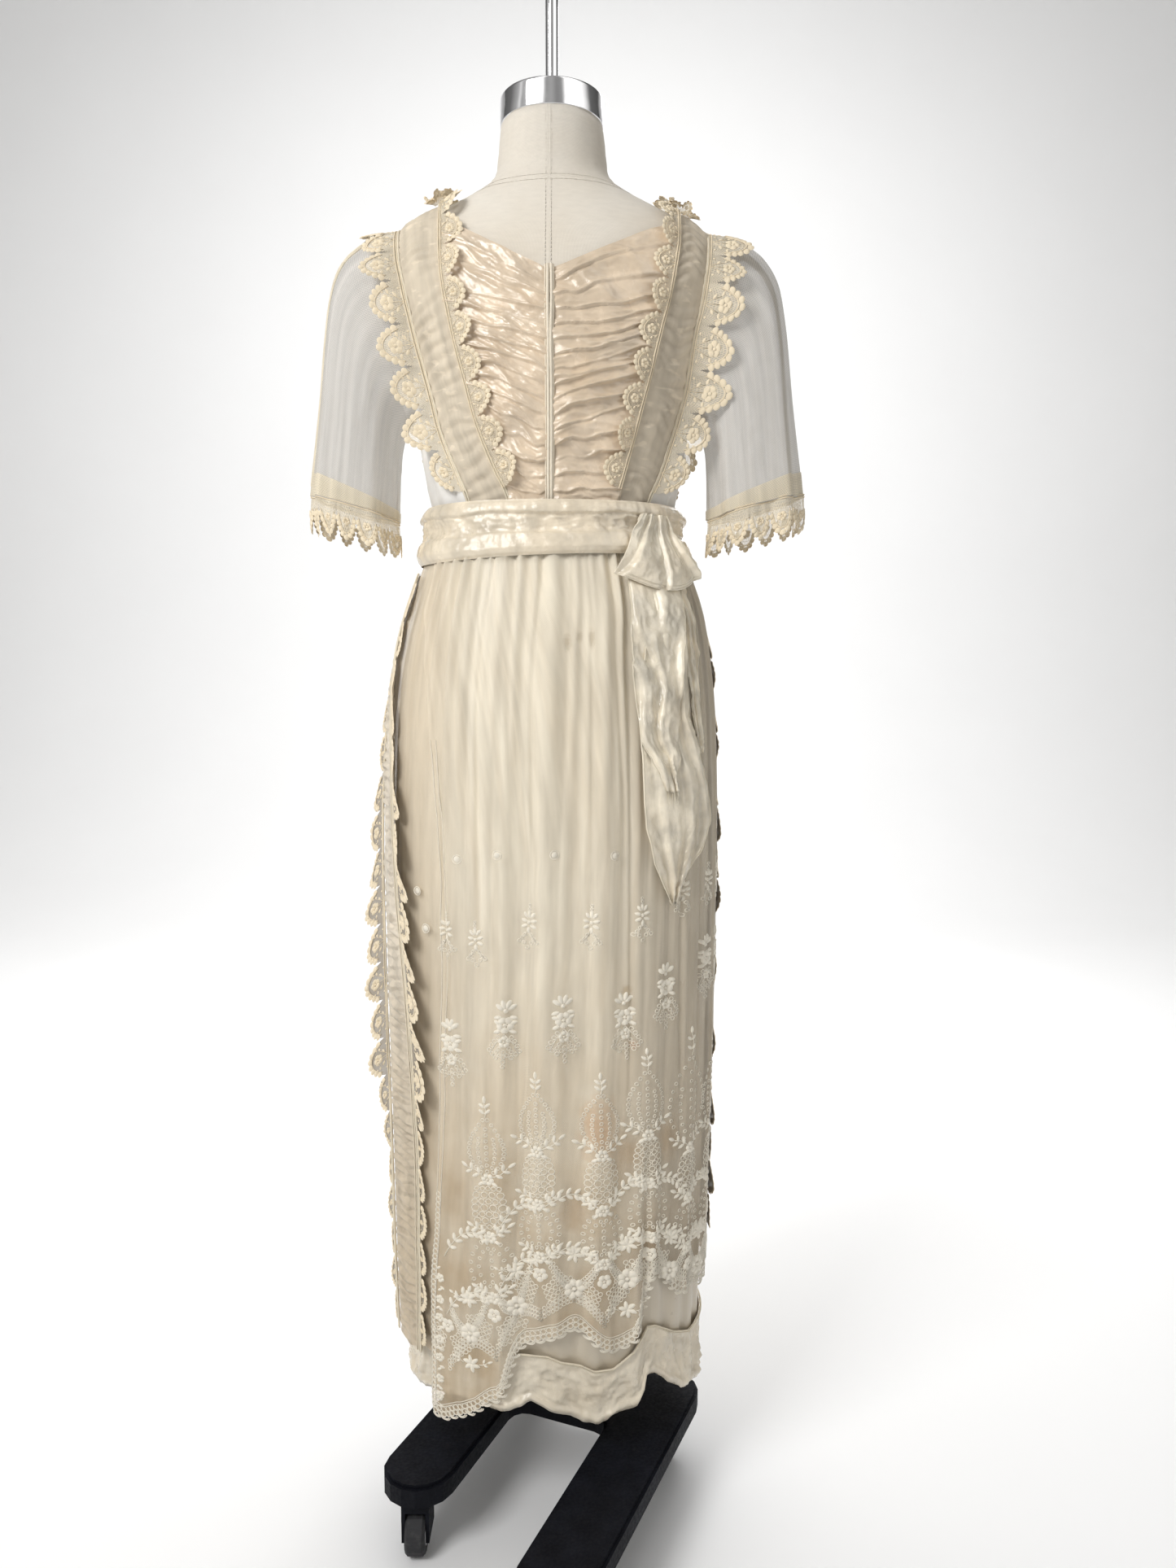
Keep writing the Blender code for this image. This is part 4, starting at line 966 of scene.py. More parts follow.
def back_grid(side):
    """Points of the tucked satin, over a little of the lace at its outer edge."""
    sign = SIDES[side]
    v, t = cells(BACK_ROWS, BACK_COLUMNS)
    seed = BACK_SEEDS[side]
    closing = WAIST + v * (NECK_MIDDLE_Z - WAIST)
    outer = trace(TUCK_RUN, v)
    run = t ** (0.85 + 0.25 * smoothstep(v, 0.5, 1.0))
    z = closing + (outer - closing) * run
    edge = band_edge(side, z - SHOULDER_Z, "inner")
    ragged = 0.0035 * noise(z * 30, 0.5, seed) * smoothstep(t, 0.7, 1.0)
    start = sign * BACK_FROM_MIDDLE
    x = start + (edge + sign * (0.002 + ragged) - start) * t
    wobble = 0.34 * noise(t * 2.0 + seed, v * 5, seed) + 0.20 * noise(t * 5, v * 16, seed + 2)
    phase = v * (TUCKS + 1) + wobble * smoothstep(t, 0.02, 0.2)
    depth = TUCK_DEPTH * (0.72 + 0.38 * noise(t * 3, np.floor(phase) * 1.7, seed + 4))
    tucks = depth * tuck_profile(phase) * smoothstep(t, -0.05, 0.10)
    gathers = BACK_GATHER * smoothstep(t, 0.45, 0.95) * creases(t * 3, v * 42 + 2 * t, 2, seed + 6)
    crushed = BACK_CRUSH * (creases(x / 0.034 + 0.8 * phase, phase * 0.8, 3, seed + 8) - 0.45)
    fine = SATIN_GRAIN * crumple(x / 0.009, z / 0.005, 2, seed + 9)
    end = smoothstep(v, 0.0, 0.02) * (0.35 + 0.65 * smoothstep(1 - v, 0.0, 0.012))
    hold = smoothstep(1.02 - t, 0.0, 0.07)
    out = BODY_LAYER + 0.0009 + (tucks + gathers + crushed + fine) * end * (0.25 + 0.75 * hold)
    return lift(form_face(x, z), np.maximum(out, BODY_LAYER))


def make_back_panels():
    for side in SIDES:
        cloth(f"tucked_back_{side}", facing(back_grid(side), side), SATIN_CLOTH, "champagne_satin",
              f"back_satin_{side}", (0.120, 0.38), "gathered", "linen_body", 0.76)


CLOSING_CORDS = (-0.0019, 0.0016)
CORD_WIDTH = 0.0034


def back_face(x, z, height):
    return lift(form_face(x, z), height + BODY_LAYER + 0.0016)


def make_closing():
    """Two corded edges that meet down the back, with hooks and thread loops between them."""
    work = Threadwork(back_face)
    low, high = WAIST - 0.004, NECK_MIDDLE_Z + 0.003
    z = np.linspace(low, high, 90)
    for k, x in enumerate(CLOSING_CORDS):
        bend = 0.0005 * noise(z * 22, 0.3, 2.0 + k)
        work.thread(np.stack([x + bend, z, 0.0002 + 0 * z], -1), CORD_WIDTH, sides=8)
        work.thread(np.stack([x * 2.4 + bend, z, -0.0002 + 0 * z], -1), CORD_WIDTH * 0.55, sides=6)
    x, half = sum(CLOSING_CORDS) / 2, 0.0024
    for z in np.arange(low + 0.012, high, 0.0125):
        work.thread([(x - half, z, 0.0012), (x, z + 0.0004, 0.0020), (x + half, z, 0.0012)], 0.0007)
    hook = high - 0.012
    work.ring(0.0, hook, 0.0030, 0.0009, squash=1.5, steps=12)
    work.ring(-0.0002, hook + 0.0072, 0.0022, 0.0009, steps=10)
    settle(work.piece("corded_closing", CORD), "back_closing")


def band_surface(side):
    """Chart of a shoulder band: distance along it, and 0 to 1 from its inner to its outer edge."""

    def place(along, across, height):
        inner, outer = band_edge(side, along, "inner"), band_edge(side, along, "outer")
        return lift(over_shoulder(inner + (outer - inner) * across, along), height)

    return place


BAND_ROWS = 400
BAND_COLUMNS_SHOWN = 14
RUCHES_SHOWN = 58
BAND_PUFF = 0.0044
BAND_SEEDS = {"left": 31.0, "right": 47.0}
BAND_PIPING = (
    # share across the band, width, height
    (1.02, 0.0028, 0.0036), (0.962, 0.0024, 0.0034), (-0.02, 0.0024, 0.0034), (0.035, 0.0022, 0.0034),
)


def ruched(along, across, count, seed):
    """Puckers across a gathered strip, slanting and running into each other."""
    phase = along * count + 0.7 * across + 0.9 * noise(along * count * 0.35, across * 2, seed)
    soft = 0.5 + 0.5 * np.sin(2 * np.pi * phase)
    sharp = soft ** 0.7 * (0.55 + 0.45 * noise(along * count * 0.8, across * 3, seed + 3))
    return sharp * np.sin(np.pi * np.clip(across, 0, 1)) ** 0.35


def make_bands():
    for side in SIDES:
        place, seed = band_surface(side), BAND_SEEDS[side]
        share, across = np.broadcast_arrays(*cells(BAND_ROWS, BAND_COLUMNS_SHOWN))
        along = BAND[0][0] + (BAND[-1][0] - BAND[0][0]) * share
        puff = BAND_PUFF * ruched(share, across, RUCHES_SHOWN, seed)
        puff = puff + 0.0005 * crumple(along / 0.006, across * 5, 2, seed)
        points = place(along, across, BODY_LAYER + 0.0014 + np.maximum(puff, -0.0006))
        cloth(f"ruched_band_{side}", facing(points, side), BAND_NET, "band_net", f"shoulder_band_{side}",
              (0.045, 0.98), "gathered", "linen_body")
        work = Threadwork(place)
        run = np.linspace(BAND[0][0] + 0.002, BAND[-1][0] - 0.002, 200)
        for across_at, width, height in BAND_PIPING:
            work.run(run, across_at + 0.012 * noise(run * 60, across_at * 9, seed), height, width, 5)
        settle(work.piece(f"band_piping_{side}", TAPE))


FRONT_TUCKS = 12
FRONT_TUCK_DEPTH = 0.0021
FRONT_CRUSH = 0.0012


def make_front():
    """Satin front between the bands, laid in plain tucks."""
    v, across = cells(120, 62, leftmost=-1)
    across = power(across, 0.85)
    top = FRONT_NECK_Z + (NECK_SIDE_Z["left"] - 0.004 - FRONT_NECK_Z) * np.abs(across) ** 1.6
    z = WAIST + v * (top - WAIST)
    along = SHOULDER_ARC + SHOULDER_Z - z
    left, right = band_edge("left", along, "inner"), band_edge("right", along, "inner")
    x = (left + right) / 2 + across * (right - left) / 2
    phase = v * FRONT_TUCKS + 0.25 * noise(across * 2, v * 5, 61.0)
    tucks = FRONT_TUCK_DEPTH * tuck_profile(phase) * smoothstep(v, 0.0, 0.03)
    tucks = tucks * (1 - 0.6 * np.abs(across) ** 3)
    crushed = FRONT_CRUSH * (creases(x / 0.03, phase * 0.8, 3, 63.0) - 0.45)
    out = BODY_LAYER + 0.0010 + np.maximum(tucks + crushed, -0.0008)
    points = lift(form_face(x, z, front=True), out)[:, ::-1]
    cloth("tucked_front", points, SATIN_CLOTH, "champagne_satin", "bodice_front", (0.250, 0.30),
          "gathered", "linen_body", 0.80)


SIDE_FOLD = 0.0013
SIDE_LIFT = 0.0022


def make_sides():
    """White silk sides, cut out under the arm, with soft upright folds."""
    v, across = cells(40, 60)
    top = ARMHOLE_Z - ARMHOLE_HALF_HEIGHT + 0.002 + 0.118 * np.abs(2 * across - 1) ** 3
    z = WAIST + v * (top - WAIST)
    for side, sign in SIDES.items():
        back = np.abs(face_angle(band_edge(side, z - SHOULDER_Z, "outer"), z))
        front = 180 - np.abs(face_angle(band_edge(side, SHOULDER_ARC + SHOULDER_Z - z, "outer"), z))
        angle = sign * (back + (front - back) * across)
        folds = SIDE_FOLD * np.sin(across * 34 + 2.2 * noise(across * 3, v * 2, 71.0))
        out = BODY_LAYER + SIDE_LIFT + folds + 0.0006 * crumple(angle / 3, z / 0.02, 2, 73.0)
        points = lift(section_point(FORM, angle, z), out)
        cloth(f"silk_side_{side}", facing(points, side), SILK, "ivory_silk", f"bodice_side_{side}",
              (0.200, 0.25), "hung", "linen_body", 0.55)


# Lace


# Points along each scallop
SCALLOP_STEPS = 16


def bell(phase):
    """Depth of a scallop along its pitch, from its notch to its tip."""
    return 0.26 + 0.74 * scallop(phase)


class Flounce:
    """Lace sewn on along a root line: where it starts, which way it falls and its face.

    wide is the pitch of its scallops' work over the room that each has along the root.
    """

    def __init__(self, scallops, root, out, face, reach, flutter, seed, lean=0.0, wide=1.0):
        self.scallops, self.root, self.out, self.face = scallops, root, out, face
        self.flutter, self.seed, self.lean = flutter, seed, lean
        self.phase = np.linspace(0, scallops, len(root))
        self.reach = np.broadcast_to(reach, len(root))
        self.pitch = float(lengths(root)[-1]) / scallops * wide

    def along(self, values, u):
        return np.stack([np.interp(u, self.phase, values[:, k]) for k in range(3)], -1)

    def place(self, u, v, height):
        """Point of the lace at a phase along it, a depth from its root and a height over it."""
        u, v, height = np.broadcast_arrays(u, v, height)
        deep = v / np.max(self.reach)
        wave = self.flutter * deep * (0.9 * np.sin(np.pi * u * 0.97 + self.seed)
                                      + 0.7 * noise(u * 0.8, 0.2, self.seed)
                                      + 0.5 * noise(u * 2.3, deep, self.seed + 1))
        curl = -0.10 * v * deep * (1 + noise(u * 0.6, 0.7, self.seed + 2))
        root = self.along(self.root, u + self.lean * deep)
        return root + self.along(self.out, u) * v[..., None] + self.along(self.face, u) * (
            height + wave + curl)[..., None]


def lace_rim(work, pitch, reach, lobes, thread):
    """Double edge of one scallop, with a round of picot loops outside it."""
    phase = np.linspace(0.03, 0.97, 60)
    x, y = (phase - 0.5) * pitch * 0.96, bell(phase) * reach
    run = lengths(np.stack([x, y], -1))
    at = np.linspace(0, run[-1], 18)
    work.thread(np.stack([np.interp(at, run, x) * 0.84, np.interp(at, run, y) * 0.84], -1), thread * 1.5)
    at = (np.arange(lobes) + 0.5) / lobes * run[-1]
    for lobe_x, lobe_y in zip(np.interp(at, run, x), np.interp(at, run, y)):
        work.dot(lobe_x * 0.95, lobe_y * 0.95, run[-1] / lobes * 0.50, thread * 1.3)


def lace_scallop(work, k, pitch, reach, lobes, thread, plain):
    """One scallop: rim, a flower on stems, leaves and dots."""
    work.stand(k + 0.5, 0.0, stretch=(1 / pitch, 1.0))
    lace_rim(work, pitch, reach, lobes, thread)
    small = min(pitch, reach)
    work.flower(0.0, reach * 0.52, small * 0.20, 5, 20.0 * hashed(k, 1, 4.0), 0.95, 0.0015)
    if plain:
        return
    for way in (-1, 1):
        for across, down, length, turn in ((0.12, 0.22, 0.15, 50), (0.20, 0.42, 0.13, 70)):
            work.petal(way * pitch * across, reach * down, small * length, small * 0.08, way * -turn,
                       0.0009, 1.5)
        work.dot(way * pitch * 0.31, reach * 0.14, thread * 1.2)
        work.dot(way * pitch * 0.26, reach * 0.58, thread * 1.1)
        work.thread([(way * pitch * 0.02, reach * 0.08), (way * pitch * 0.10, reach * 0.20),
                     (way * pitch * 0.19, reach * 0.40)], thread * 0.6)
    work.thread([(0.0, reach * 0.05), (0.0, reach * 0.40)], thread * 0.7)


def make_flounce(name, flounce, node, lobes=9, thread=0.0011, header=True, plain=False,
                 ground_finish=None):
    """Net ground cut to scallops, with its raised work on top."""
    scallops = flounce.scallops
    u = np.linspace(0, scallops, scallops * SCALLOP_STEPS + 1)
    reach = np.interp(u, flounce.phase, flounce.reach)
    deep = np.linspace(0, 1, 9)[:, None] * (bell(u) * reach * 0.97)[None, :]
    points = flounce.place(u[None, :], deep, -0.0002)
    ground = settle(sheet_mesh(f"{name}_net", points, ground_finish or LACE_NET), node)
    work = Threadwork(flounce.place)
    for k in range(scallops):
        lace_scallop(work, k, flounce.pitch, float(np.interp(k + 0.5, u, reach)), lobes, thread, plain)
    if header:
        for depth in (0.0008, 0.0034):
            work.run(u, depth, 0.0003, 0.0015, 4)
    raised = settle(work.piece(f"{name}_work", LACE_THREAD))


# Root of a lace over the cloth that carries it
LACE_SEAT = 0.0012
SHOULDER_SCALLOPS = 16
NECK_SCALLOPS = 20


def band_line(side, edge, off, scallops):
    """Places along a shoulder band for a lace, with the points and normals of the body there."""
    along = np.linspace(BAND[0][0] + LACE_START, BAND[-1][0] - LACE_START, scallops * SCALLOP_STEPS + 1)
    base = over_shoulder(band_edge(side, along, edge) + SIDES[side] * off, along)
    return along, base, form_normal(base)


def make_shoulder_laces():
    for side, sign in SIDES.items():
        along, base, normal = band_line(side, "outer", -0.001, SHOULDER_SCALLOPS)
        root = base + normal * (BODY_LAYER + NET + LACE_SEAT)
        turn = np.clip(along / SHOULDER_ARC, 0, 1) * np.pi
        low = smoothstep(np.abs(along - SHOULDER_ARC / 2), 0.20, 0.38)
        out = unit(np.stack([np.full(len(along), sign * 1.0), -np.cos(turn) * (0.26 - 0.50 * low),
                             -0.16 + 0.02 * low], -1))
        end = np.minimum(along - along[0], along[-1] - along)
        reach = SHOULDER_LACE[side] * 0.98 * (0.62 + 0.38 * smoothstep(end, 0.01, 0.09))
        lace = Flounce(SHOULDER_SCALLOPS, root, out, normal, reach, 0.0036, 5.0 + sign)
        make_flounce(f"shoulder_lace_{side}", lace, f"shoulder_lace_{side}")


def make_neck_laces():
    for side, sign in SIDES.items():
        _, base, normal = band_line(side, "inner", 0.001, NECK_SCALLOPS)
        root = base + normal * (BODY_LAYER + SATIN + TUCK_DEPTH * 0.6 + LACE_SEAT)
        inward = unit(np.cross(np.gradient(root, axis=0), normal))
        inward *= -np.sign(inward[:, :1]) * sign
        out = unit(inward + 0.16 * normal)
        face = unit(np.cross(out, np.gradient(root, axis=0)))
        face *= np.sign((face * (normal - 0.5 * inward)).sum(-1, keepdims=True))
        lace = Flounce(NECK_SCALLOPS, root, out, face, NECK_LACE, 0.0040, 9.0 + sign)
        make_flounce(f"neck_lace_{side}", lace, f"neck_lace_{side}", lobes=8,
                     thread=0.0009)


FRILLS = (
    # side, place along the band, off its inner edge, height, radius, reach
    ("left", 0.030, -0.002, 0.0016, 0.0060, 0.0150), ("right", 0.020, 0.004, 0.0016, 0.0090, 0.0140),
    ("right", -0.004, -0.012, 0.0014, 0.0070, 0.0120),
)
FRILL_SCALLOPS = 7


def make_shoulder_frills():
    """Ends of the neck lace, curled into small ruffled heads on the shoulders."""
    phase = np.linspace(0, FRILL_SCALLOPS, FRILL_SCALLOPS * SCALLOP_STEPS + 1)
    turn = 2 * np.pi * phase / FRILL_SCALLOPS
    for k, (side, at, off, tall, wide, reach) in enumerate(FRILLS):
        place = np.array([SHOULDER_ARC / 2 - at])
        base = over_shoulder(band_edge(side, place, "inner") + off, place)
        normal = form_normal(base)[0]
        beside = unit(np.array([1.0, 0.0, 0.0]) - normal[0] * normal)
        round_ = np.cos(turn)[:, None] * beside + np.sin(turn)[:, None] * np.cross(normal, beside)
        root = base[0] + normal * (0.0035 + tall) + round_ * wide
        out = unit(round_ * (0.75 + 0.35 * np.sin(3.1 * phase + k))[:, None] + normal * (
            0.85 + 0.30 * np.cos(2.3 * phase))[:, None])
        face = unit(np.cross(out, np.gradient(root, axis=0)))
        frill = Flounce(FRILL_SCALLOPS, root, out, face, reach, 0.0022, 15.0 + k, wide=1.6)
        make_flounce(f"shoulder_frill_{k + 1}", frill, None,
                     lobes=6, thread=0.0010,
                     header=False, plain=True)


# Sleeves


SLEEVE_COLUMNS = 120
SLEEVE_ROWS = 56
SLEEVE_TAPE_TOP = 0.955
SLEEVE_FOLD = 0.0034
SLEEVE_CREASE = 0.0016


def sleeve_place(side):
    """Chart of a sleeve: turn in degrees from its top, 0 to 1 from the armhole to its edge."""
    sign = SIDES[side]
    seat_middle = (SLEEVE_SEAT[0] + SLEEVE_SEAT[1]) / 2
    seat_swing = (SLEEVE_SEAT[0] - SLEEVE_SEAT[1]) / 2

    def place(degrees, down, height):
        degrees, down, height = np.broadcast_arrays(degrees, down, height)
        turn = np.radians(degrees)
        y, z = armhole(turn)
        root = lift(form_side(sign, y, z), seat_middle + seat_swing * np.cos(turn))
        at = down * len(SLEEVE)
        rows = [(0, *SLEEVE[0])] + [(k + 1, *row) for k, row in enumerate(SLEEVE)]
        top_x, top_z, under_x, under_z, half_depth = np.moveaxis(read(rows, np.maximum(at, 1.0)), -1, 0)
        top_x = top_x + SLEEVE_WIDER[side] * np.minimum(1.0, 2 * down)
        size = np.hypot(top_x - under_x, top_z - under_z) / 2
        seed = 81.0 if side == "left" else 91.0
        soft = SLEEVE_FOLD * down * np.cos(7 * turn + 0.4 + 1.2 * np.sin(2 * turn) + 0.8 * down)
        soft = soft + SLEEVE_FOLD * down * noise(degrees / 13, down * 1.2, seed)
        soft = soft + SLEEVE_CREASE * (creases(degrees / 26 - down, down * 2.4, 2, seed + 3) - 0.4)
        out = height + soft - 0.0012
        around = (size + out) / size * np.cos(turn)
        x = (top_x + under_x) / 2 + around * (top_x - under_x) / 2
        z = (top_z + under_z) / 2 + around * (top_z - under_z) / 2
        y = SLEEVE_Y + (half_depth + out) * np.sin(turn)
        ring = np.stack([sign * x, y, z], -1)
        share = smoothstep(at, 0.0, 1.0)[..., None]
        return root * (1 - share) + ring * share

    return place


def make_sleeves():
    for side, sign in SIDES.items():
        place = sleeve_place(side)
        degrees = np.arange(SLEEVE_COLUMNS)[None, :] * 360.0 / SLEEVE_COLUMNS * -sign
        down = np.linspace(1, 0, SLEEVE_ROWS)[:, None]
        cloth(f"net_sleeve_{side}", place(degrees, down, 0.0), SLEEVE_NET, "sleeve_net",
              f"sleeve_{side}", (0.42, 0.26), "hung", f"shoulder_lace_{side}_net", 0.75,
              ring=True)
        low = np.linspace(0.998, SLEEVE_TAPE_TOP, 7)[:, None]
        cloth(f"sleeve_hem_{side}", place(degrees, low, 0.0009), HEM_TAPE, "ecru_lace", None,
              (0.42, 0.014), "gathered", f"net_sleeve_{side}", ring=True)
        # Folded seam down the outer edge of the sleeve
        work = Threadwork(place)
        run = np.linspace(0.10, 0.98, 70)
        for offset, width in ((-4.0, 0.0022), (0.0, 0.0040), (4.0, 0.0022)):
            bend = 1.2 * noise(run * 9, offset, 7.0)
            work.run(offset + bend + 14 * sign, run, 0.0010, width)
        settle(work.piece(f"sleeve_tape_{side}", TAPE))


CUFF_SCALLOPS = 14


def make_cuffs():
    for side, sign in SIDES.items():
        place = sleeve_place(side)
        phase = np.linspace(0, CUFF_SCALLOPS, CUFF_SCALLOPS * SCALLOP_STEPS + 1)
        degrees = phase / CUFF_SCALLOPS * 360.0
        root = place(degrees, 0.995, -0.0006)
        outside = unit(place(degrees, 0.995, 0.001) - root)
        fall = unit(np.array([0.0, 0.0, -1.0]) + 0.16 * outside * [1, 1, 0])
        lace = Flounce(CUFF_SCALLOPS, root, fall, outside, CUFF_LACE * 0.97, 0.0034, 13.0 + sign)
        make_flounce(f"cuff_lace_{side}", lace, f"cuff_lace_{side}", thread=0.0009,
                     plain=True)


# Sash


BELT_COLUMNS = 340
BELT_LEVELS = 52
BELT_LIFT = 0.0048
HIGH_FOLD, LOW_FOLD = 0.0032, 0.0034
PUCKER, SMALL_PUCKER, BELT_UPRIGHT = 0.0048, 0.0022, 0.0007


def belt_out(angle, height):
    """Relief of the sash: a plain top fold, a puckered middle and a wide lower fold."""
    rows = trace(BELT_ROWS, height)
    wavy = height + 0.045 * noise(angle / 13, 0.4, 101.0) + 0.012 * noise(angle / 4, 0.7, 102.0)
    high_fold = HIGH_FOLD * smoothstep(wavy, 0.745, 0.775) * (1 - 0.6 * smoothstep(wavy, 0.80, 1.0))
    low_fold = LOW_FOLD * (1 - smoothstep(wavy, 0.385, 0.415)) * (0.55 + 0.45 * np.sin(
        np.pi * np.clip(wavy / 0.40, 0, 1)))
    middle = smoothstep(wavy, 0.39, 0.46) * (1 - smoothstep(wavy, 0.70, 0.76))
    pucker = PUCKER * (creases(angle / 7 + 2 * height, height * 3.4, 3, 103.0) - 0.45) * (0.35 + middle)
    small = SMALL_PUCKER * (creases(angle / 3.1, height * 2.2, 2, 106.0) - 0.45)
    small = small * smoothstep(wavy, 0.06, 0.2)
    upright = BELT_UPRIGHT * np.cos(np.radians(angle * 52 + 700 * noise(angle / 12, 0.1, 105.0)))
    upright = upright * (1 - smoothstep(wavy, 0.33, 0.40)) * smoothstep(wavy, 0.14, 0.30)
    return BELT_LIFT + 1.1 * rows + high_fold + low_fold + (pucker + small) + upright


def make_belt():
    angle = (np.arange(BELT_COLUMNS) * 360.0 / BELT_COLUMNS)[None, :] - 180.0
    height = np.linspace(0, 1, BELT_LEVELS)[:, None]
    angle, height = np.broadcast_arrays(angle, height)
    points = belt_point(angle, height, belt_out(angle, height))
    inner = belt_point(angle, height, np.full(angle.shape, 0.0046))
    dip = 0.0035 * np.sin(np.radians(2.0 * angle + 30)) * (1 - height)
    points[..., 2] += dip
    inner[..., 2] += dip
    tucked_in = smoothstep(height, 0.0, 0.05) * smoothstep(1 - height, 0.0, 0.06)
    points = inner + (points - inner) * (0.15 + 0.85 * tucked_in)[..., None]
    cloth("draped_sash", points, SASH_CLOTH, "champagne_satin", "belt", (0.91, 0.075), "folded",
          "net_overskirt_back", ring=True)


BOW_COLUMNS = 90
BOW_ROWS = 54
BOW_FOLD, BOW_CRUSH = 0.0084, 0.0046


def bow_surface(across, down, height):
    """Fan of the bow: pleats that spread from its knot to a curved lower edge."""
    left, right = 37.5 - 17.5 * down ** 0.9, 54.0 + 11.0 * down
    angle = left + (right - left) * across
    z = 1.143 - 0.066 * down - 0.017 * down * np.sin(np.pi * across)
    fan = across * 3.3 + 0.8 * down * (1 - across) + 0.35 * noise(across * 3, down * 2, 111.0)
    part = fan - np.floor(fan)
    fold = BOW_FOLD * smoothstep(part, 0.0, 0.12) * (1 - part) ** 0.8 * (0.45 + 0.55 * down)
    puff = 0.0104 + 0.0060 * smoothstep(down, 0.2, 0.8) * (1 - 0.5 * smoothstep(down, 0.9, 1.0))
    puff = puff + 0.003 * np.sin(np.pi * down)
    crushed = BOW_CRUSH * (creases(across * 4 + down, down * 3, 3, 113.0) - 0.45)
    point = skirt_point(angle, np.minimum(z, BELT_CARRIER_TOP), puff + fold + crushed + height)
    point[..., 2] = z
    return point


def make_bow():
    down, across = cells(BOW_ROWS, BOW_COLUMNS, lowest=1, highest=0)
    cloth("sash_fan", bow_surface(across, down, 0.0), LIT_SASH_CLOTH, "champagne_satin", "sash_bow",
          (0.12, 0.075), "folded", "draped_sash", 0.85, thick=0.0008)
    work = Threadwork(bow_surface)
    for down_at in (0.945, 0.985):
        work.run(np.linspace(0.02, 0.98, 60), down_at, 0.0006, 0.0007, 4)
    settle(work.piece("bow_stitching", SILK_THREAD))


TAILS = {
    # name: node, seat over the skirt, seed, rows of z, left angle, right angle
    "sash_tail_strip": ("sash_strip", 0.0010, 121.0,
                        ((1.080, 47.0, 57.0), (0.98, 50.0, 57.5), (0.90, 53.5, 58.0),
                         (0.885, 54.5, 57.5))),
    "sash_tail_long": ("sash_end_long", 0.0038, 131.0,
                       ((1.085, 37.0, 52.0), (0.97, 28.0, 49.5), (0.925, 27.5, 49.0), (0.88, 28.0, 55.0),
                        (0.85, 28.5, 59.5), (0.807, 29.4, 59.5), (0.768, 32.8, 52.0),
                        (0.740, 37.0, 45.0), (0.722, 40.0, 42.0))),
    "sash_tail_short": ("sash_end_short", 0.0078, 141.0,
                        ((1.085, 26.0, 48.0), (1.05, 25.0, 50.0), (0.97, 24.8, 44.0), (0.90, 27.5, 43.5),
                         (0.87, 33.0, 42.5), (0.845, 37.0, 41.5))),
}


TAIL_FOLD, TAIL_CRUSH = 0.0080, 0.0066
# Height of the sash ends over their seat, and how far their folds may sink
TAIL_LIFT, TAIL_SUNK = 0.0064, -0.0024


def tail_surface(table, seat, seed):
    """Chart of a hanging sash end: 0 to 1 across and down it."""
    levels, lefts, rights = np.transpose(table)
    # A narrow end folds less deeply
    broad = min(1.0, 0.45 + (rights[1] - lefts[1]) / 40)

    def place(across, down, height):
        z = levels[0] + (levels[-1] - levels[0]) * down
        left, right = np.interp(-z, -levels, lefts), np.interp(-z, -levels, rights)
        angle = left + (right - left) * across
        slant = across * 2.1 - 1.5 * down + 0.5 * noise(across * 2, down * 4, seed)
        part = slant - np.floor(slant)
        fold = TAIL_FOLD * smoothstep(part, 0.0, 0.16) * (1 - part) ** 0.9 - 0.0020
        fold = fold + TAIL_CRUSH * (creases(across * 3 - 2 * down, down * 8, 3, seed + 2) - 0.45)
        free = 0.25 + 0.75 * smoothstep(down, 0.0, 0.25)
        out = seat + TAIL_LIFT + np.maximum(broad * fold * free, TAIL_SUNK)
        return skirt_point(angle, z, out + height)

    return place


def fray(work, length, seed):
    """Loose threads at the lower edge of a sash end."""
    step = np.linspace(0, 1, 4)
    for x in np.arange(0.02, 1.0, 0.035):
        reach = 0.006 * (1.4 + hashed(x * 100, 1, seed))
        slack = 0.06 * hashed(x * 100, 2, seed)
        work.run(x + slack * step**2, 1.0 + np.linspace(-0.005, reach / length, 4),
                 np.linspace(0.0, 0.0006, 4), 0.0005, 4)


def make_tails():
    down, across = cells(96, 36, lowest=1, highest=0)
    for name, (node, seat, seed, table) in TAILS.items():
        place = tail_surface(table, seat, seed)
        tail = sheet_mesh(name, place(across, down, 0.0), LIT_SASH_CLOTH, thick=0.0006)
        settle(tail, node)
        length, width = table[0][0] - table[-1][0], DEGREE * (table[1][2] - table[1][1])
        work = Threadwork(place)
        if name == "sash_tail_short":
            fray(work, length, seed)
        for edge in (0.015, 0.985):
            work.run(edge, np.linspace(0.0, 1.0, 90), 0.0004, 0.0009, 4)
        settle(work.piece(f"{name}_edge", SILK_THREAD))


# Skirt


OVERSKIRT_EDGE = (
    # angle, z: the lower edge of the back panel, from its free corner to the side seam
    (-49.0, 0.131), (-42.0, 0.128), (-35.7, 0.136), (-28.0, 0.146), (-21.2, 0.162), (-15.5, 0.178),
    (-13.2, 0.205), (-10.0, 0.226), (-3.6, 0.238), (3.3, 0.245), (7.9, 0.251), (12.5, 0.240),
    (19.0, 0.223), (25.8, 0.224), (30.0, 0.236), (32.6, 0.262), (34.5, 0.290), (36.5, 0.302),
    (44.0, 0.290), (50.0, 0.272), (57.0, 0.267), (63.0, 0.272), (69.0, 0.262), (78.0, 0.276),
    (90.0, 0.268), (108.0, 0.276),
)
# Deep fold to the right of the middle, from the edge upwards
DEEP_FOLD = 33.6
DEEP_FOLD_TOP = 0.50
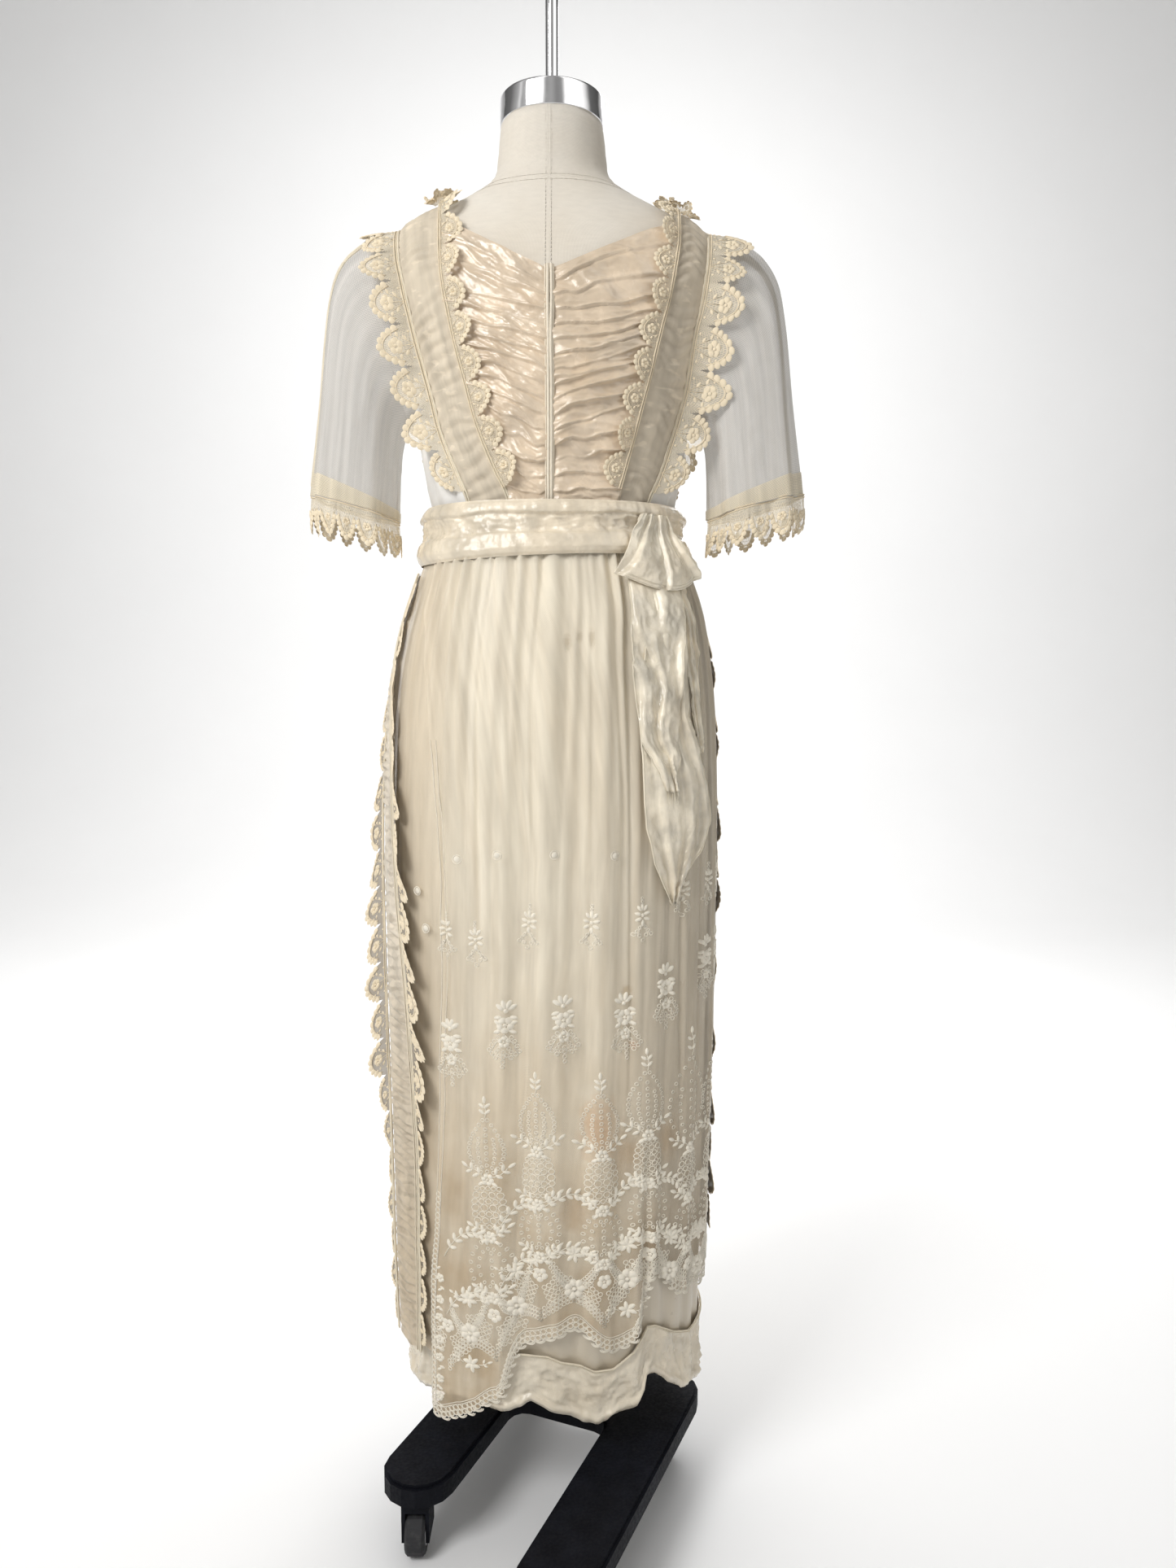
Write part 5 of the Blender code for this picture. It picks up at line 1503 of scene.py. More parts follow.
# Long folds of the back panel, from the sash down
FOLD_LINES = (
    # angle at the sash, angle and z where it fades, depth
    (-37.0, -33.5, 0.60, 0.0026), (-22.0, -21.5, 0.72, 0.0036), (-12.5, -11.0, 0.86, 0.0024),
    (-3.4, -4.8, 0.74, 0.0034), (6.2, 5.0, 0.88, 0.0024), (11.4, 12.0, 0.80, 0.0026),
    (20.6, 22.5, 0.70, 0.0030), (24.2, 27.0, 0.52, 0.0036), (48.0, 49.0, 0.45, 0.0034),
    (62.0, 61.0, 0.50, 0.0034),
)


# Depth of the gathers at the sash, of the soft pleats, of the deep fold and of its two ridges
GATHER, PLEAT = 0.0020, 0.0022
VALLEY, RIDGE = 0.0040, 0.0042
# How much higher the back panel lies over the front one, and how far its folds may sink
LAP_HEIGHT = 0.0030
OVER_SUNK = -0.0038


def over_out(angle, z):
    """Height of the overskirt's folds: fine gathers at the belt that join into soft pleats."""
    angle, z = np.broadcast_arrays(np.asarray(angle, float), np.asarray(z, float))
    down = SKIRT_TOP - z
    drift = angle + 1.6 * noise(angle / 24, z / 0.5, 201.0) + 3.0 * down
    strength = 0.65 + 0.45 * noise(angle / 21, z / 0.6, 203.0)
    large = skirt_fold(angle, z) * np.clip(strength, 0.25, 1.0)
    gather = GATHER * np.cos(np.radians(drift * 62)) * smoothstep(down, 0.0, 0.03)
    gather = gather * (1 - 0.8 * smoothstep(down, 0.05, 0.40))
    pleat = PLEAT * np.abs(np.cos(np.radians(drift * 18 + 20))) ** 0.6 * smoothstep(down, 0.05, 0.30)
    pleat = pleat * (1 - 0.6 * smoothstep(down, 0.55, 0.85))
    fine = 0.0004 * crumple(angle / 2.2, z / 0.05, 2, 205.0) * smoothstep(down, 0.0, 0.05)
    for top, low, low_z, depth in FOLD_LINES:
        run = np.clip((SKIRT_TOP - z) / (SKIRT_TOP - low_z), 0, 1.3)
        line = top + (low - top) * run + 0.8 * noise(z / 0.16, top, 206.0)
        fade = smoothstep(down, 0.0, 0.03) * (1 - smoothstep(run, 0.75, 1.15))
        fine = fine - depth * fade * np.exp(-((angle - line) / 0.8) ** 2)
        fine = fine + 0.75 * depth * fade * np.exp(-((angle - line - 2.4) / 1.7) ** 2)
    deep = smoothstep(DEEP_FOLD_TOP - z, 0.0, 0.20)
    valley = np.exp(-((angle - DEEP_FOLD) / 1.5) ** 2)
    ridge = np.exp(-((angle - DEEP_FOLD + 3.4) / 2.0) ** 2)
    ridge = ridge + 0.8 * np.exp(-((angle - DEEP_FOLD - 3.6) / 2.2) ** 2)
    shaped = (large + gather + pleat + fine) * (1 - 0.8 * deep * (valley + 0.5 * ridge))
    shaped = shaped + deep * (RIDGE * ridge - VALLEY * valley)
    lap = LAP_HEIGHT * (1 - smoothstep(angle, LAP, 0.0)) * (angle > -90)
    return np.maximum(shaped, OVER_SUNK) + lap + NET / 2


def over_surface(angle, z, height):
    return skirt_point(angle, z, over_out(angle, z) + height)


def over_hem(angle):
    return read(OVERSKIRT_EDGE, angle)[..., 0]


def over_free_edge(z):
    return read(FREE_EDGE, z)[..., 0] + 0.5 * noise(np.asarray(z) / 0.05, 0.3, 207.0)


def make_overskirts():
    up, share = cells(150, 270)
    left = over_free_edge(HEM_LOW + (SKIRT_TOP - HEM_LOW) * up)
    angle = left + (SIDE_SEAM - left) * share
    hem = over_hem(angle[0])[None, :]
    points = over_surface(angle, hem + (SKIRT_TOP - hem) * up, 0.0)
    cloth("net_overskirt_back", points, SKIRT_NET, "skirt_net", "overskirt_back", (0.72, 1.00),
          "gathered", "satin_underskirt", 0.70)
    up, share = cells(80, 250)
    angle = SIDE_SEAM + (360 + LAP - SIDE_SEAM) * share
    hem = 0.280 - 0.006 * scallop(angle / 18) - 0.075 * smoothstep(angle, 255.0, 285.0)
    z = hem + (SKIRT_TOP - hem) * up
    out = skirt_fold(angle, z) + 0.0008 + 0.0006 * crumple(angle / 3, z / 0.08, 2, 209.0)
    cloth("net_overskirt_front", skirt_point(angle, z, out), SKIRT_NET, "skirt_net", "overskirt_front",
          (0.90, 0.95), "gathered", "satin_underskirt", 0.72)


# Embroidery of the back panel


class Embroidery(Threadwork):
    """Threadwork on the overskirt, placed by angle and height."""

    def __init__(self):
        super().__init__(over_surface)

    def at_place(self, angle, z, turn=0.0, size=1.0):
        """Stand at an angle and a height of the skirt, with metres for units."""
        ends = skirt_point(np.array([angle - 1.0, angle + 1.0]), np.array([z, z]))
        metres = float(np.linalg.norm(ends[1] - ends[0])) / 2
        self.stand(angle, z, turn, size, (1 / metres, 1.0))


# Threads of the embroidery
MEDIUM, THIN = 0.0014, 0.0011
# Angle and z of each dot and sprig
DOTS = (
    (-47.4, 0.734), (-42.9, 0.694), (-28.9, 0.773), (-14.8, 0.779), (1.4, 0.780), (19.6, 0.778),
    (39.0, 0.790), (58.0, 0.796), (77.0, 0.800), (96.0, 0.800),
)
SPRIGS_HIGH = (
    (-33.6, 0.690), (-22.4, 0.682), (-5.5, 0.702), (12.3, 0.701), (30.0, 0.707), (48.4, 0.729),
    (67.0, 0.735), (87.0, 0.735),
)
SPRIGS_LOW = (
    (-32.2, 0.560), (-12.9, 0.585), (4.2, 0.591), (24.5, 0.590), (41.0, 0.618), (66.4, 0.640),
    (86.0, 0.640),
)
COLUMNS_OF_WORK = (
    # angle at the low knot, low knot z, middle knot z, high knot z, top z, lean in degrees
    (-37.0, 0.262, 0.330, 0.395, 0.480, 0.0),
    (-17.6, 0.285, 0.355, 0.421, 0.512, -2.6),
    (-2.4, 0.335, 0.395, 0.455, 0.541, -1.6),
    (17.6, 0.324, 0.386, 0.449, 0.540, -2.4),
    (35.4, 0.346, 0.409, 0.465, 0.562, -3.0),
    (56.5, 0.318, 0.377, 0.437, 0.578, -1.4),
    (77.0, 0.320, 0.382, 0.442, 0.560, 0.0),
    (97.0, 0.320, 0.382, 0.442, 0.560, 0.0),
)


def dot_motif(work):
    work.ring(0, 0, 0.0048, THIN, steps=12)
    work.dot(0, 0, 0.0036, 0.0015)


def twig(work, x, y, turn, pairs, length, leaf=0.0062):
    """Stem with pairs of leaves and a leaf at its tip."""
    c, s = cos_sin(turn)
    t = np.linspace(0, 1, 7)
    bow = length * 0.10 * np.sin(np.pi * t)
    work.thread(np.stack([x - s * t * length + c * bow, y + c * t * length + s * bow], -1), THIN)
    for k in range(pairs):
        along = length * (k + 0.7) / (pairs + 0.4)
        px, py = x - s * along, y + c * along
        for way in (-1, 1):
            work.petal(px, py, leaf, leaf * 0.48, turn + way * 52, 0.0013, 1.4)
    work.petal(x - s * length, y + c * length, leaf * 1.1, leaf * 0.5, turn, 0.0013, 1.4)


def ring_row(work, line, radius):
    """Small rings at each place of a line of x and y, on both sides of the middle."""
    for x, y in line:
        for way in (-1, 1):
            work.ring(way * x, y, radius, THIN, steps=7)


def ring_bar(work, levels, radius):
    """Small rings up the middle."""
    for y in levels:
        work.ring(0.0, y, radius, THIN, steps=7)


def sprig_high(work):
    """Small spray: rings up its tip, a padded flower head and ringed feet that spread."""
    ring_bar(work, [0.0235 - 0.0038 * k for k in range(3)], 0.0015)
    for turn, y in ((38, 0.0095), (74, 0.0055), (112, 0.0020)):
        for way in (-1, 1):
            work.petal(way * 0.0012, y, 0.0078, 0.0040, -way * turn, 0.0015, 1.2)
    work.petal(0.0, 0.0095, 0.0082, 0.0042, 0, 0.0015, 1.2)
    work.petal(0.0, 0.0, 0.0078, 0.0042, 180, 0.0014, 1.2)
    work.dot(0.0, 0.0048, 0.0022)
    ring_row(work, ((0.0034, -0.0085), (0.0062, -0.0125), (0.0096, -0.0160), (0.0040, -0.0172)), 0.0020)
    for way in (-1, 1):
        work.thread([(0, -0.002), (way * 0.0042, -0.0105), (way * 0.0085, -0.0150)], THIN)
    ring_bar(work, [-0.0225], 0.0021)


def sprig_low(work):
    """Tall spray: a crown of leaves, two flowers and arms of rings that close to a foot."""
    for way in (-58, -20, 20, 58):
        c, s = cos_sin(way)
        work.petal(-s * 0.002, 0.0255 + c * 0.002, 0.0108, 0.0056, way, 0.0016, 1.1)
    work.dot(0.0, 0.0255, 0.0026)
    work.flower(0.0, 0.0100, 0.0094, 5, 36, 0.95, 0.0016)
    for way in (-1, 1):
        for y, turn in ((0.0190, 105), (0.0110, 72), (0.0040, 112)):
            work.petal(way * 0.0040, y, 0.0088, 0.0046, -way * turn, 0.0015, 1.2)
        work.thread([(0, 0.0), (way * 0.0085, -0.010), (way * 0.0150, -0.022)], THIN)
    work.flower(0.0, -0.0085, 0.0068, 5, 0, 0.95, 0.0015)
    ring_row(work, ((0.0070, -0.0040), (0.0105, -0.0085), (0.0135, -0.0135), (0.0160, -0.0190),
                    (0.0125, -0.0225), (0.0080, -0.0262)), 0.0022)
    ring_row(work, ((0.0052, -0.0160), (0.0078, -0.0200), (0.0036, -0.0235)), 0.0019)
    ring_bar(work, [-0.0200 - 0.0052 * k for k in range(4)], 0.0021)


def lattice(work, low, high, width, rows, across):
    """Rows of small open rings set in a barrel from low to high."""
    for r in range(rows):
        part = (r + 0.5) / rows
        half = width / 2 * (0.7 + 0.3 * math.sin(math.pi * part))
        y = low + (high - low) * part
        number = across if r % 2 == 0 else across - 1
        for k in range(number):
            x = (-1 + 2 * (k + 0.5) / number) * half
            work.ring(x, y + 0.05 * x, half / number * 0.86, THIN, squash=0.92, steps=8)


def column_motif(work, low, middle, high, top):
    """Tall column between the low knot and its tip: oval, barrel and teardrop, with leafy knots."""
    oval, barrel, tip = middle - low, high - middle, top - high
    # Oval of rings in rounds, and a bar of rings up its middle
    for wide, tall, count, radius in ((0.35, 0.45, 20, 0.0023), (0.22, 0.32, 14, 0.0020)):
        for k in range(count):
            turn = 2 * math.pi * (k + 0.5) / count
            work.ring(math.sin(turn) * oval * wide, oval * (0.5 + tall * math.cos(turn)), radius, THIN,
                      squash=0.8, turn=90 - math.degrees(turn), steps=7)
    ring_bar(work, [oval * (0.26 + 0.12 * k) for k in range(5)], 0.0021)
    # Barrel of rings
    lattice(work, middle - low + barrel * 0.12, high - low - barrel * 0.10, barrel * 0.62, 7, 5)
    # Teardrop outlined in rings, with a bar of rings and leaves along its sides
    base = high - low
    t = np.linspace(0.06, 0.98, 12)
    wide = tip * 0.20 * np.sin(np.pi * t ** 0.85) ** 0.9
    ring_row(work, zip(wide + 0.0012, base + tip * (0.05 + 0.70 * t)), 0.0020)
    ring_row(work, zip(wide[1:8] * 0.52, base + tip * (0.05 + 0.70 * t[1:8])), 0.0018)
    ring_bar(work, [base + tip * (0.10 + 0.075 * k) for k in range(8)], 0.0019)
    twig(work, 0.0, base + tip * 0.76, 0, 2, tip * 0.18, 0.0080)
    # Knots, with leafy twigs to both sides
    for y, reach in ((0.0, 0.015), (middle - low, 0.017), (high - low, 0.021)):
        work.flower(0.0, y, 0.0074, 6, 18, 0.8, 0.0016)
        for way in (-1, 1):
            twig(work, way * 0.004, y + 0.003, -way * 60, 2, reach, 0.0086)
            work.petal(way * 0.004, y - 0.003, 0.0082, 0.0042, -way * 118, 0.0014, 1.2)


def hanging(one, two, sag, t):
    """Angle and height at a share of the way along a curve that hangs between two places."""
    return (one[0] + (two[0] - one[0]) * t,
            one[1] + (two[1] - one[1]) * t - sag * 4 * t * (1 - t))


def garland(work, one, two, sag):
    """Leaf pairs along a hanging curve between two places of the skirt."""
    leaf, count = 0.0094, 8
    for k in range(1, count):
        t = k / count
        fall = two[1] - one[1] - sag * 4 * (1 - 2 * t)
        slope = fall / (math.radians(two[0] - one[0]) * SKIRT_RADIUS)
        work.at_place(*hanging(one, two, sag, t), math.degrees(math.atan(slope)) - 90)
        for way in (-1, 1):
            work.petal(0, 0, leaf, leaf * 0.50, way * 46, 0.0014, 1.2)
    work.run(*hanging(one, two, sag, np.linspace(0, 1, 40)), 0.0005, THIN, 4)


def chain(work, one, two, sag, links):
    """Small rings in a row along a curve between two places."""
    for k in range(links + 1):
        work.at_place(*hanging(one, two, sag, k / links))
        work.ring(0, 0, 0.0021, THIN, steps=7)


def leaf_star(work, angle, z):
    work.at_place(angle, z)
    for turn in range(0, 360, 60):
        work.petal(0.0, 0.0, 0.0105, 0.0052, turn + 12, 0.0016, 1.2)
    for way in (-1, 1):
        twig(work, way * 0.009, 0.0, way * -70, 1, 0.010, 0.0060)


def crossing(work, one, two):
    """Triple chains that cross between two columns, with a flower where they meet and leaf stars."""
    middle, level = (one[0] + two[0]) / 2, (one[1] + two[1]) / 2 - 0.030
    for k in range(3):
        drop = 0.0048 * k
        for column, beside in ((one, 2.2), (two, -2.2)):
            start = (column[0] + beside, column[1] + 0.004 - drop)
            chain(work, start, (middle, level - drop), 0.006, 11)
        for column in (one, two):
            foot = max(column[1] - 0.062, float(over_hem(column[0])) + 0.020)
            chain(work, (middle, level - 0.008 - drop), (column[0], foot - drop), -0.004, 9)
    work.at_place(middle, level - 0.004)
    work.flower(0, 0, 0.0120, 7, 12, 0.7, 0.0018)
    for z in (level + 0.036, level - 0.040):
        if z >= float(over_hem(middle)) + 0.026:
            leaf_star(work, middle, z)


def foot_fan(work, angle, low):
    """Flower under a column, with rounds of rings in two wings, as far as the cloth goes."""
    reach, top = low - 0.016 - float(over_hem(angle)), low - 0.018
    if reach < 0.02:
        return
    work.at_place(angle, top)
    work.flower(0, -0.002, 0.0085, 5, 36)
    for r in range(min(4, int((reach - 0.012) / 0.0062))):
        radius = 0.0150 + 0.0062 * r
        for turn in np.radians(np.linspace(18, 78, 4 + r)):
            for way in (-1, 1):
                x, y = way * radius * math.sin(turn), -0.002 - radius * math.cos(turn)
                at, z = angle + x / DEGREE, top + y
                if z > float(over_hem(at)) + 0.017 and at > float(over_free_edge(z)) + 1.5:
                    work.ring(x, y, 0.0025, THIN, steps=8)


def make_embroidery():
    work = Embroidery()
    for angle, z in DOTS:
        work.at_place(angle, z)
        dot_motif(work)
    for sprig, places, seed in ((sprig_high, SPRIGS_HIGH, 3), (sprig_low, SPRIGS_LOW, 5)):
        for k, (angle, z) in enumerate(places):
            work.at_place(angle, z, 5 * hashed(k, seed, 1.0))
            sprig(work)
    # The first column is past the free edge: only garlands and chains run to its place
    for angle, low, middle, high, top, lean in COLUMNS_OF_WORK[1:]:
        turn = -math.degrees(math.atan(math.radians(lean) * SKIRT_RADIUS / (top - low)))
        work.at_place(angle, low, turn)
        column_motif(work, low, middle, high, top)
    for one, two in zip(COLUMNS_OF_WORK, COLUMNS_OF_WORK[1:]):
        for level in (1, 2):
            garland(work, (one[0], one[level] - 0.006), (two[0], two[level] - 0.006), -0.020)
        crossing(work, one, two)
    for angle, low, *_ in COLUMNS_OF_WORK:
        foot_fan(work, angle, low)
    edge_loops(work)
    free_border(work)
    settle(work.piece("skirt_embroidery", EMBROIDERY))


def edge_loops(work):
    """Rows of loops along the lower edge, bowed loops that scallop it, and corded lines."""
    angles = np.arange(over_free_edge(HEM_LOW) + 0.5, SIDE_SEAM, 1.35)
    edge = over_hem(angles)
    run = lengths(skirt_point(angles, edge))

    def spaced(pitch):
        count = int(run[-1] / pitch)
        at = (np.arange(count) + 0.5) / count * run[-1]
        return zip(np.interp(at, run, angles), np.interp(at, run, edge))

    for angle, z in spaced(0.0062):
        work.at_place(angle, z)
        work.ring(0, 0.0026, 0.0030, MEDIUM, steps=8)
        work.ring(0, 0.0088, 0.0029, THIN, steps=8)
    for angle, z in spaced(0.0120):
        work.at_place(angle, z)
        for radius in (0.0062, 0.0044):
            work.ring(0, 0.0008, radius, MEDIUM, squash=0.75, turn=180, steps=9, part=0.5)
    fine = np.linspace(0, run[-1], 420)
    for rise in (0.0058, 0.0124, 0.0150):
        work.run(np.interp(fine, run, angles), np.interp(fine, run, edge) + rise, 0.0005, THIN, 4)


def free_border(work):
    """Dense border up the free edge of the back panel: looped edge, flowers and leaves."""
    for z in np.arange(0.140, 0.400, 0.0062):
        work.at_place(float(over_free_edge(z)), z)
        work.ring(0.0026, 0, 0.0029, THIN + 0.0004 * float(smoothstep(0.40 - z, 0.0, 0.15)), steps=8)
    for k, z in enumerate(np.arange(0.150, 0.300, 0.024)):
        work.at_place(float(over_free_edge(z)), z, -90 if k % 2 else -80)
        work.flower(0.0, 0.0115, 0.0056, 5, 30 * k)
        for way in (1, -1):
            work.petal(way * 0.010, 0.009, 0.0066, 0.0032, way * -28, 0.0012, 1.4)
    z = np.linspace(0.135, 0.90, 240)
    for shift in (0.35, 2.3):
        work.run(over_free_edge(z) + shift, z, 0.0004, THIN, 4)


# Underskirt and hem


HEM_EDGE = (
    # angle, z of the lower edge of the hem band
    (-180.0, 0.134), (-110.0, 0.138), (-62.5, 0.143), (-45.0, 0.150), (-29.3, 0.154), (-17.8, 0.145),
    (-6.5, 0.160), (1.3, 0.149), (10.7, 0.137), (15.9, 0.134), (23.2, 0.141), (31.5, 0.148),
    (33.6, 0.160), (35.2, 0.178), (40.3, 0.178), (48.5, 0.159), (57.1, 0.144), (69.9, 0.136),
    (110.0, 0.134), (180.0, 0.134),
)
HEM_PIPING = (
    # angle, z of the piping over the hem band
    (-180.0, 0.214), (-60.0, 0.216), (-10.0, 0.218), (-0.9, 0.216), (3.1, 0.209), (9.3, 0.205),
    (14.3, 0.196), (21.4, 0.196), (30.0, 0.212), (36.0, 0.238), (40.0, 0.236), (50.0, 0.220),
    (62.6, 0.208), (90.0, 0.212), (180.0, 0.214),
)


HEM_CRUSH, HEM_CREASE = 0.0060, 0.0026
HEM_UPRIGHT, HEM_ROLL = 0.0020, 0.0034


def under_out(angle, z):
    deep = UNDERSKIRT_INSET * smoothstep(SKIRT_TOP - z, 0.0, 0.10) + 0.0014
    fold = 0.0010 + 0.0016 * smoothstep(0.36 - z, 0.0, 0.08)
    fold = fold * np.cos(np.radians(angle * 27 + 30 * noise(angle / 18, z / 0.4, 221.0)))
    fold = fold * smoothstep(SKIRT_TOP - z, 0.05, 0.3)
    loose = 0.0006 * crumple(angle / 6, z / 0.12, 2, 223.0)
    return -deep + np.minimum(fold + loose, 0.0012)


def piping_z(angle):
    return trace(HEM_PIPING, angle)


def make_underskirt():
    angle = np.linspace(-180, 180, 241)[None, :-1]
    low = piping_z(angle) - 0.016
    z = low + (SKIRT_TOP - low) * np.linspace(0, 1, 64)[:, None]
    tucked_in = 0.0036 * smoothstep(low + 0.018 - z, 0.0, 0.014)
    points = skirt_point(angle, z, under_out(angle, z) - tucked_in)
    cloth("satin_underskirt", points, UNDER_CLOTH, "skirt_satin", "underskirt", (1.01, 0.92), "hung",
          "draped_sash", ring=True)


def hem_surface(angle, down, height):
    """Hem band: 0 to 1 down from the piping, crushed and rolled under at its edge."""
    angle, down = np.broadcast_arrays(np.asarray(angle, float), np.asarray(down, float))
    top, low = piping_z(angle), trace(HEM_EDGE, angle)
    z = top + (low - top) * down
    wander = noise(angle / 12, 0.2, 231.0)
    crushed = HEM_CRUSH * (creases(angle / 6.0, down * 2.6 + wander, 3, 233.0) - 0.5)
    upright = HEM_UPRIGHT * np.cos(np.radians(angle * 24 + 60 * noise(angle / 16, down, 235.0)))
    crushed = crushed + HEM_CREASE * (creases(angle / 2.2, down * 6, 2, 234.0) - 0.5)
    roll = HEM_ROLL * np.sin(np.pi * smoothstep(down, 0.80, 1.0))
    roll = roll * (1 + 0.5 * noise(angle / 3, 0.4, 237.0))
    held = smoothstep(down, 0.0, 0.12)
    z = z + 0.0020 * noise(angle / 2.6, 0.8, 239.0) * smoothstep(down, 0.7, 1.0)
    out = -0.0042 + (crushed + upright) * held * (1 - 0.55 * smoothstep(down, 0.7, 1.0)) + roll
    return skirt_point(angle, z, out + height)


def make_hem():
    angle, down = np.linspace(-180, 180, 451)[None, :-1], np.linspace(1, 0, 30)[:, None]
    cloth("crushed_hem", hem_surface(angle, down, 0.0), HEM_CLOTH, "champagne_satin", "hem_band",
          (1.06, 0.085), "gathered", "satin_underskirt", ring=True, thick=0.0008)
    work = Threadwork(hem_surface)
    run = np.linspace(-180, 180, 500)[:-1]
    work.run(run, 0.0, 0.0022, 0.0016, 6, closed=True)
    work.run(run, 0.03, 0.0016, 0.0008, 4, closed=True)
    settle(work.piece("hem_piping", TAPE))


# Strips down both sides


# How far the ruches stop over the lowest row of the strips' table
ROBING_START = {"left": 0.038, "right": 0.13}
ROBING_SEEDS = {"left": 241.0, "right": 251.0}
STRIP_RUCHES = 78
STRIP_PUFF = 0.0064
STRIP_TAPES = (
    # place from the middle (0) to an edge (1), width
    (-1.0, 0.0026), (-0.9, 0.0016), (1.0, 0.0028), (0.9, 0.0018), (0.8, 0.0014),
)
# How far the left strip's laces are narrowed low down, and how the laces lean as they fall
LACE_NARROWED = {"front": 0.40, "back": 0.62}
LACE_LEAN = {"left": -0.42, "right": -0.15}


def robing_seat(z):
    return SKIRT_FOLD_DEPTH * smoothstep(SKIRT_TOP - z, 0.01, 0.16) + NET + 0.0010


def robing_surface(side):
    """Chart of a ruched strip: height, and -1 to 1 across it."""

    def place(across, z, height):
        angle = robing_line(side, z, across * ROBING_HALF_WIDTH[side])
        return skirt_point(angle, z, robing_seat(z) + height)

    return place


def make_robings():
    for side in SIDES:
        place, seed = robing_surface(side), ROBING_SEEDS[side]
        low, high = ROBING[0][0] + ROBING_START[side], ROBING[-1][0]
        z, across = np.broadcast_arrays(*cells(400, 18, low, high, -1))
        curved = (z - low) / (high - low) - 0.008 * (1 - across**2)
        puff = STRIP_PUFF * ruched(curved, (across + 1) / 2, STRIP_RUCHES, seed) - 0.0006
        puff = puff * (1 - 0.75 * smoothstep(z, 0.90, 0.98))
        flat = (round(2 * ROBING_HALF_WIDTH[side], 3), round((high - low) * 1.12, 2))
        cloth(f"ruched_strip_{side}", place(across, z, np.maximum(puff, -0.0010)), STRIP_NET, "band_net",
              f"robing_{side}", flat, "gathered", "net_overskirt_front")
        work = Threadwork(place)
        run = np.linspace(low, high, 170)
        for at, width in STRIP_TAPES:
            work.run(at + 0.02 * noise(run * 40, at, seed), run, 0.0024, width, 5)
        settle(work.piece(f"strip_tape_{side}", TAPE))
        robing_laces(side, low, high)


def robing_laces(side, low, high):
    scallops = int((high - low) / ROBING_LACE_PITCH)
    level = np.linspace(low + 0.01, high - 0.004, scallops * SCALLOP_STEPS + 1)
    for edge, way in (("front", SIDES[side]), ("back", -SIDES[side])):
        line = robing_line(side, level, way * (ROBING_HALF_WIDTH[side] - 0.004))
        root = skirt_point(line, level, robing_seat(level) + NET)
        normal = skirt_normal(line, level)
        tangent = skirt_point(line + 1.0, level) - skirt_point(line - 1.0, level)
        tangent *= way / np.linalg.norm(tangent, axis=-1, keepdims=True)
        rise = ROBING_LACE_RISE[side, edge] * trace(ROBING_RISE_SHARE, level)
        out = unit(tangent + rise[:, None] * normal + np.array([0, 0, -0.15]))
        face = unit(np.cross(out, np.gradient(root, axis=0)))
        face *= np.sign((face * normal).sum(-1, keepdims=True))
        below = LACE_NARROWED[edge] * (1 - smoothstep(level, 0.46, 0.54))
        short = (0.60 * smoothstep(level, 0.80, 0.90) + below) * (side == "left")
        lace = Flounce(scallops, root, out, face, ROBING_LACE * 0.98 * (1 - short), 0.0030, 17.0 + way,
                       LACE_LEAN[side])
        lace.pitch = ROBING_LACE_PITCH
        make_flounce(f"strip_lace_{side}_{edge}", lace, f"robing_lace_{side}_{edge}",
                     lobes=8, thread=0.0010,
                     ground_finish=STRIP_LACE_NET)


# Stand


def finish_stand():
    """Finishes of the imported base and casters, and the axle bolts that turn with the wheels."""
    for name, node in frame["nodes"].items():
        packed = name == "stand_base" or name.endswith("_fork")
        if packed or name.endswith("_wheel"):
            node.data.materials.clear()
            node.data.materials.append(IRON if packed else RUBBER)
    for corner in CASTERS:
        low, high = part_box(f"caster_{corner}_wheel")
        joint = next(j for j in frame["joints"] if j["name"] == f"caster_{corner}_roll")
        axis = unit(np.array(joint["axis"], float))
        make_hub(corner, (np.array(low) + np.array(high)) / 2, axis)


HUB = (
    # radius, height over the wheel's face
    (0.0002, 0.0), (0.0150, 0.0), (0.0150, 0.0006), (0.0118, 0.0008), (0.0105, 0.0003),
    (0.0070, 0.0004), (0.0064, 0.0012), (0.0002, 0.0014),
)


def make_hub(corner, centre, axis):
    """Steel discs let into both faces of a wheel."""
    upright = np.array([0.0, 0.0, 1.0])
    turn = 2 * np.pi * np.arange(28)[:, None] / 28
    for side, face in ((-1, "in"), (1, "out")):
        around = np.cross(axis, upright) * np.cos(turn) * side + upright * np.sin(turn)
        rows = [centre - PLACE + axis * side * (WHEEL_WIDTH / 2 + height - 0.0004) + radius * around
                for radius, height in HUB]
        disc = sheet_mesh(f"wheel_hub_{corner}_{face}", np.array(rows), STEEL, ring=True)
        settle(disc, body=f"caster_{corner}_roll")


# Studio


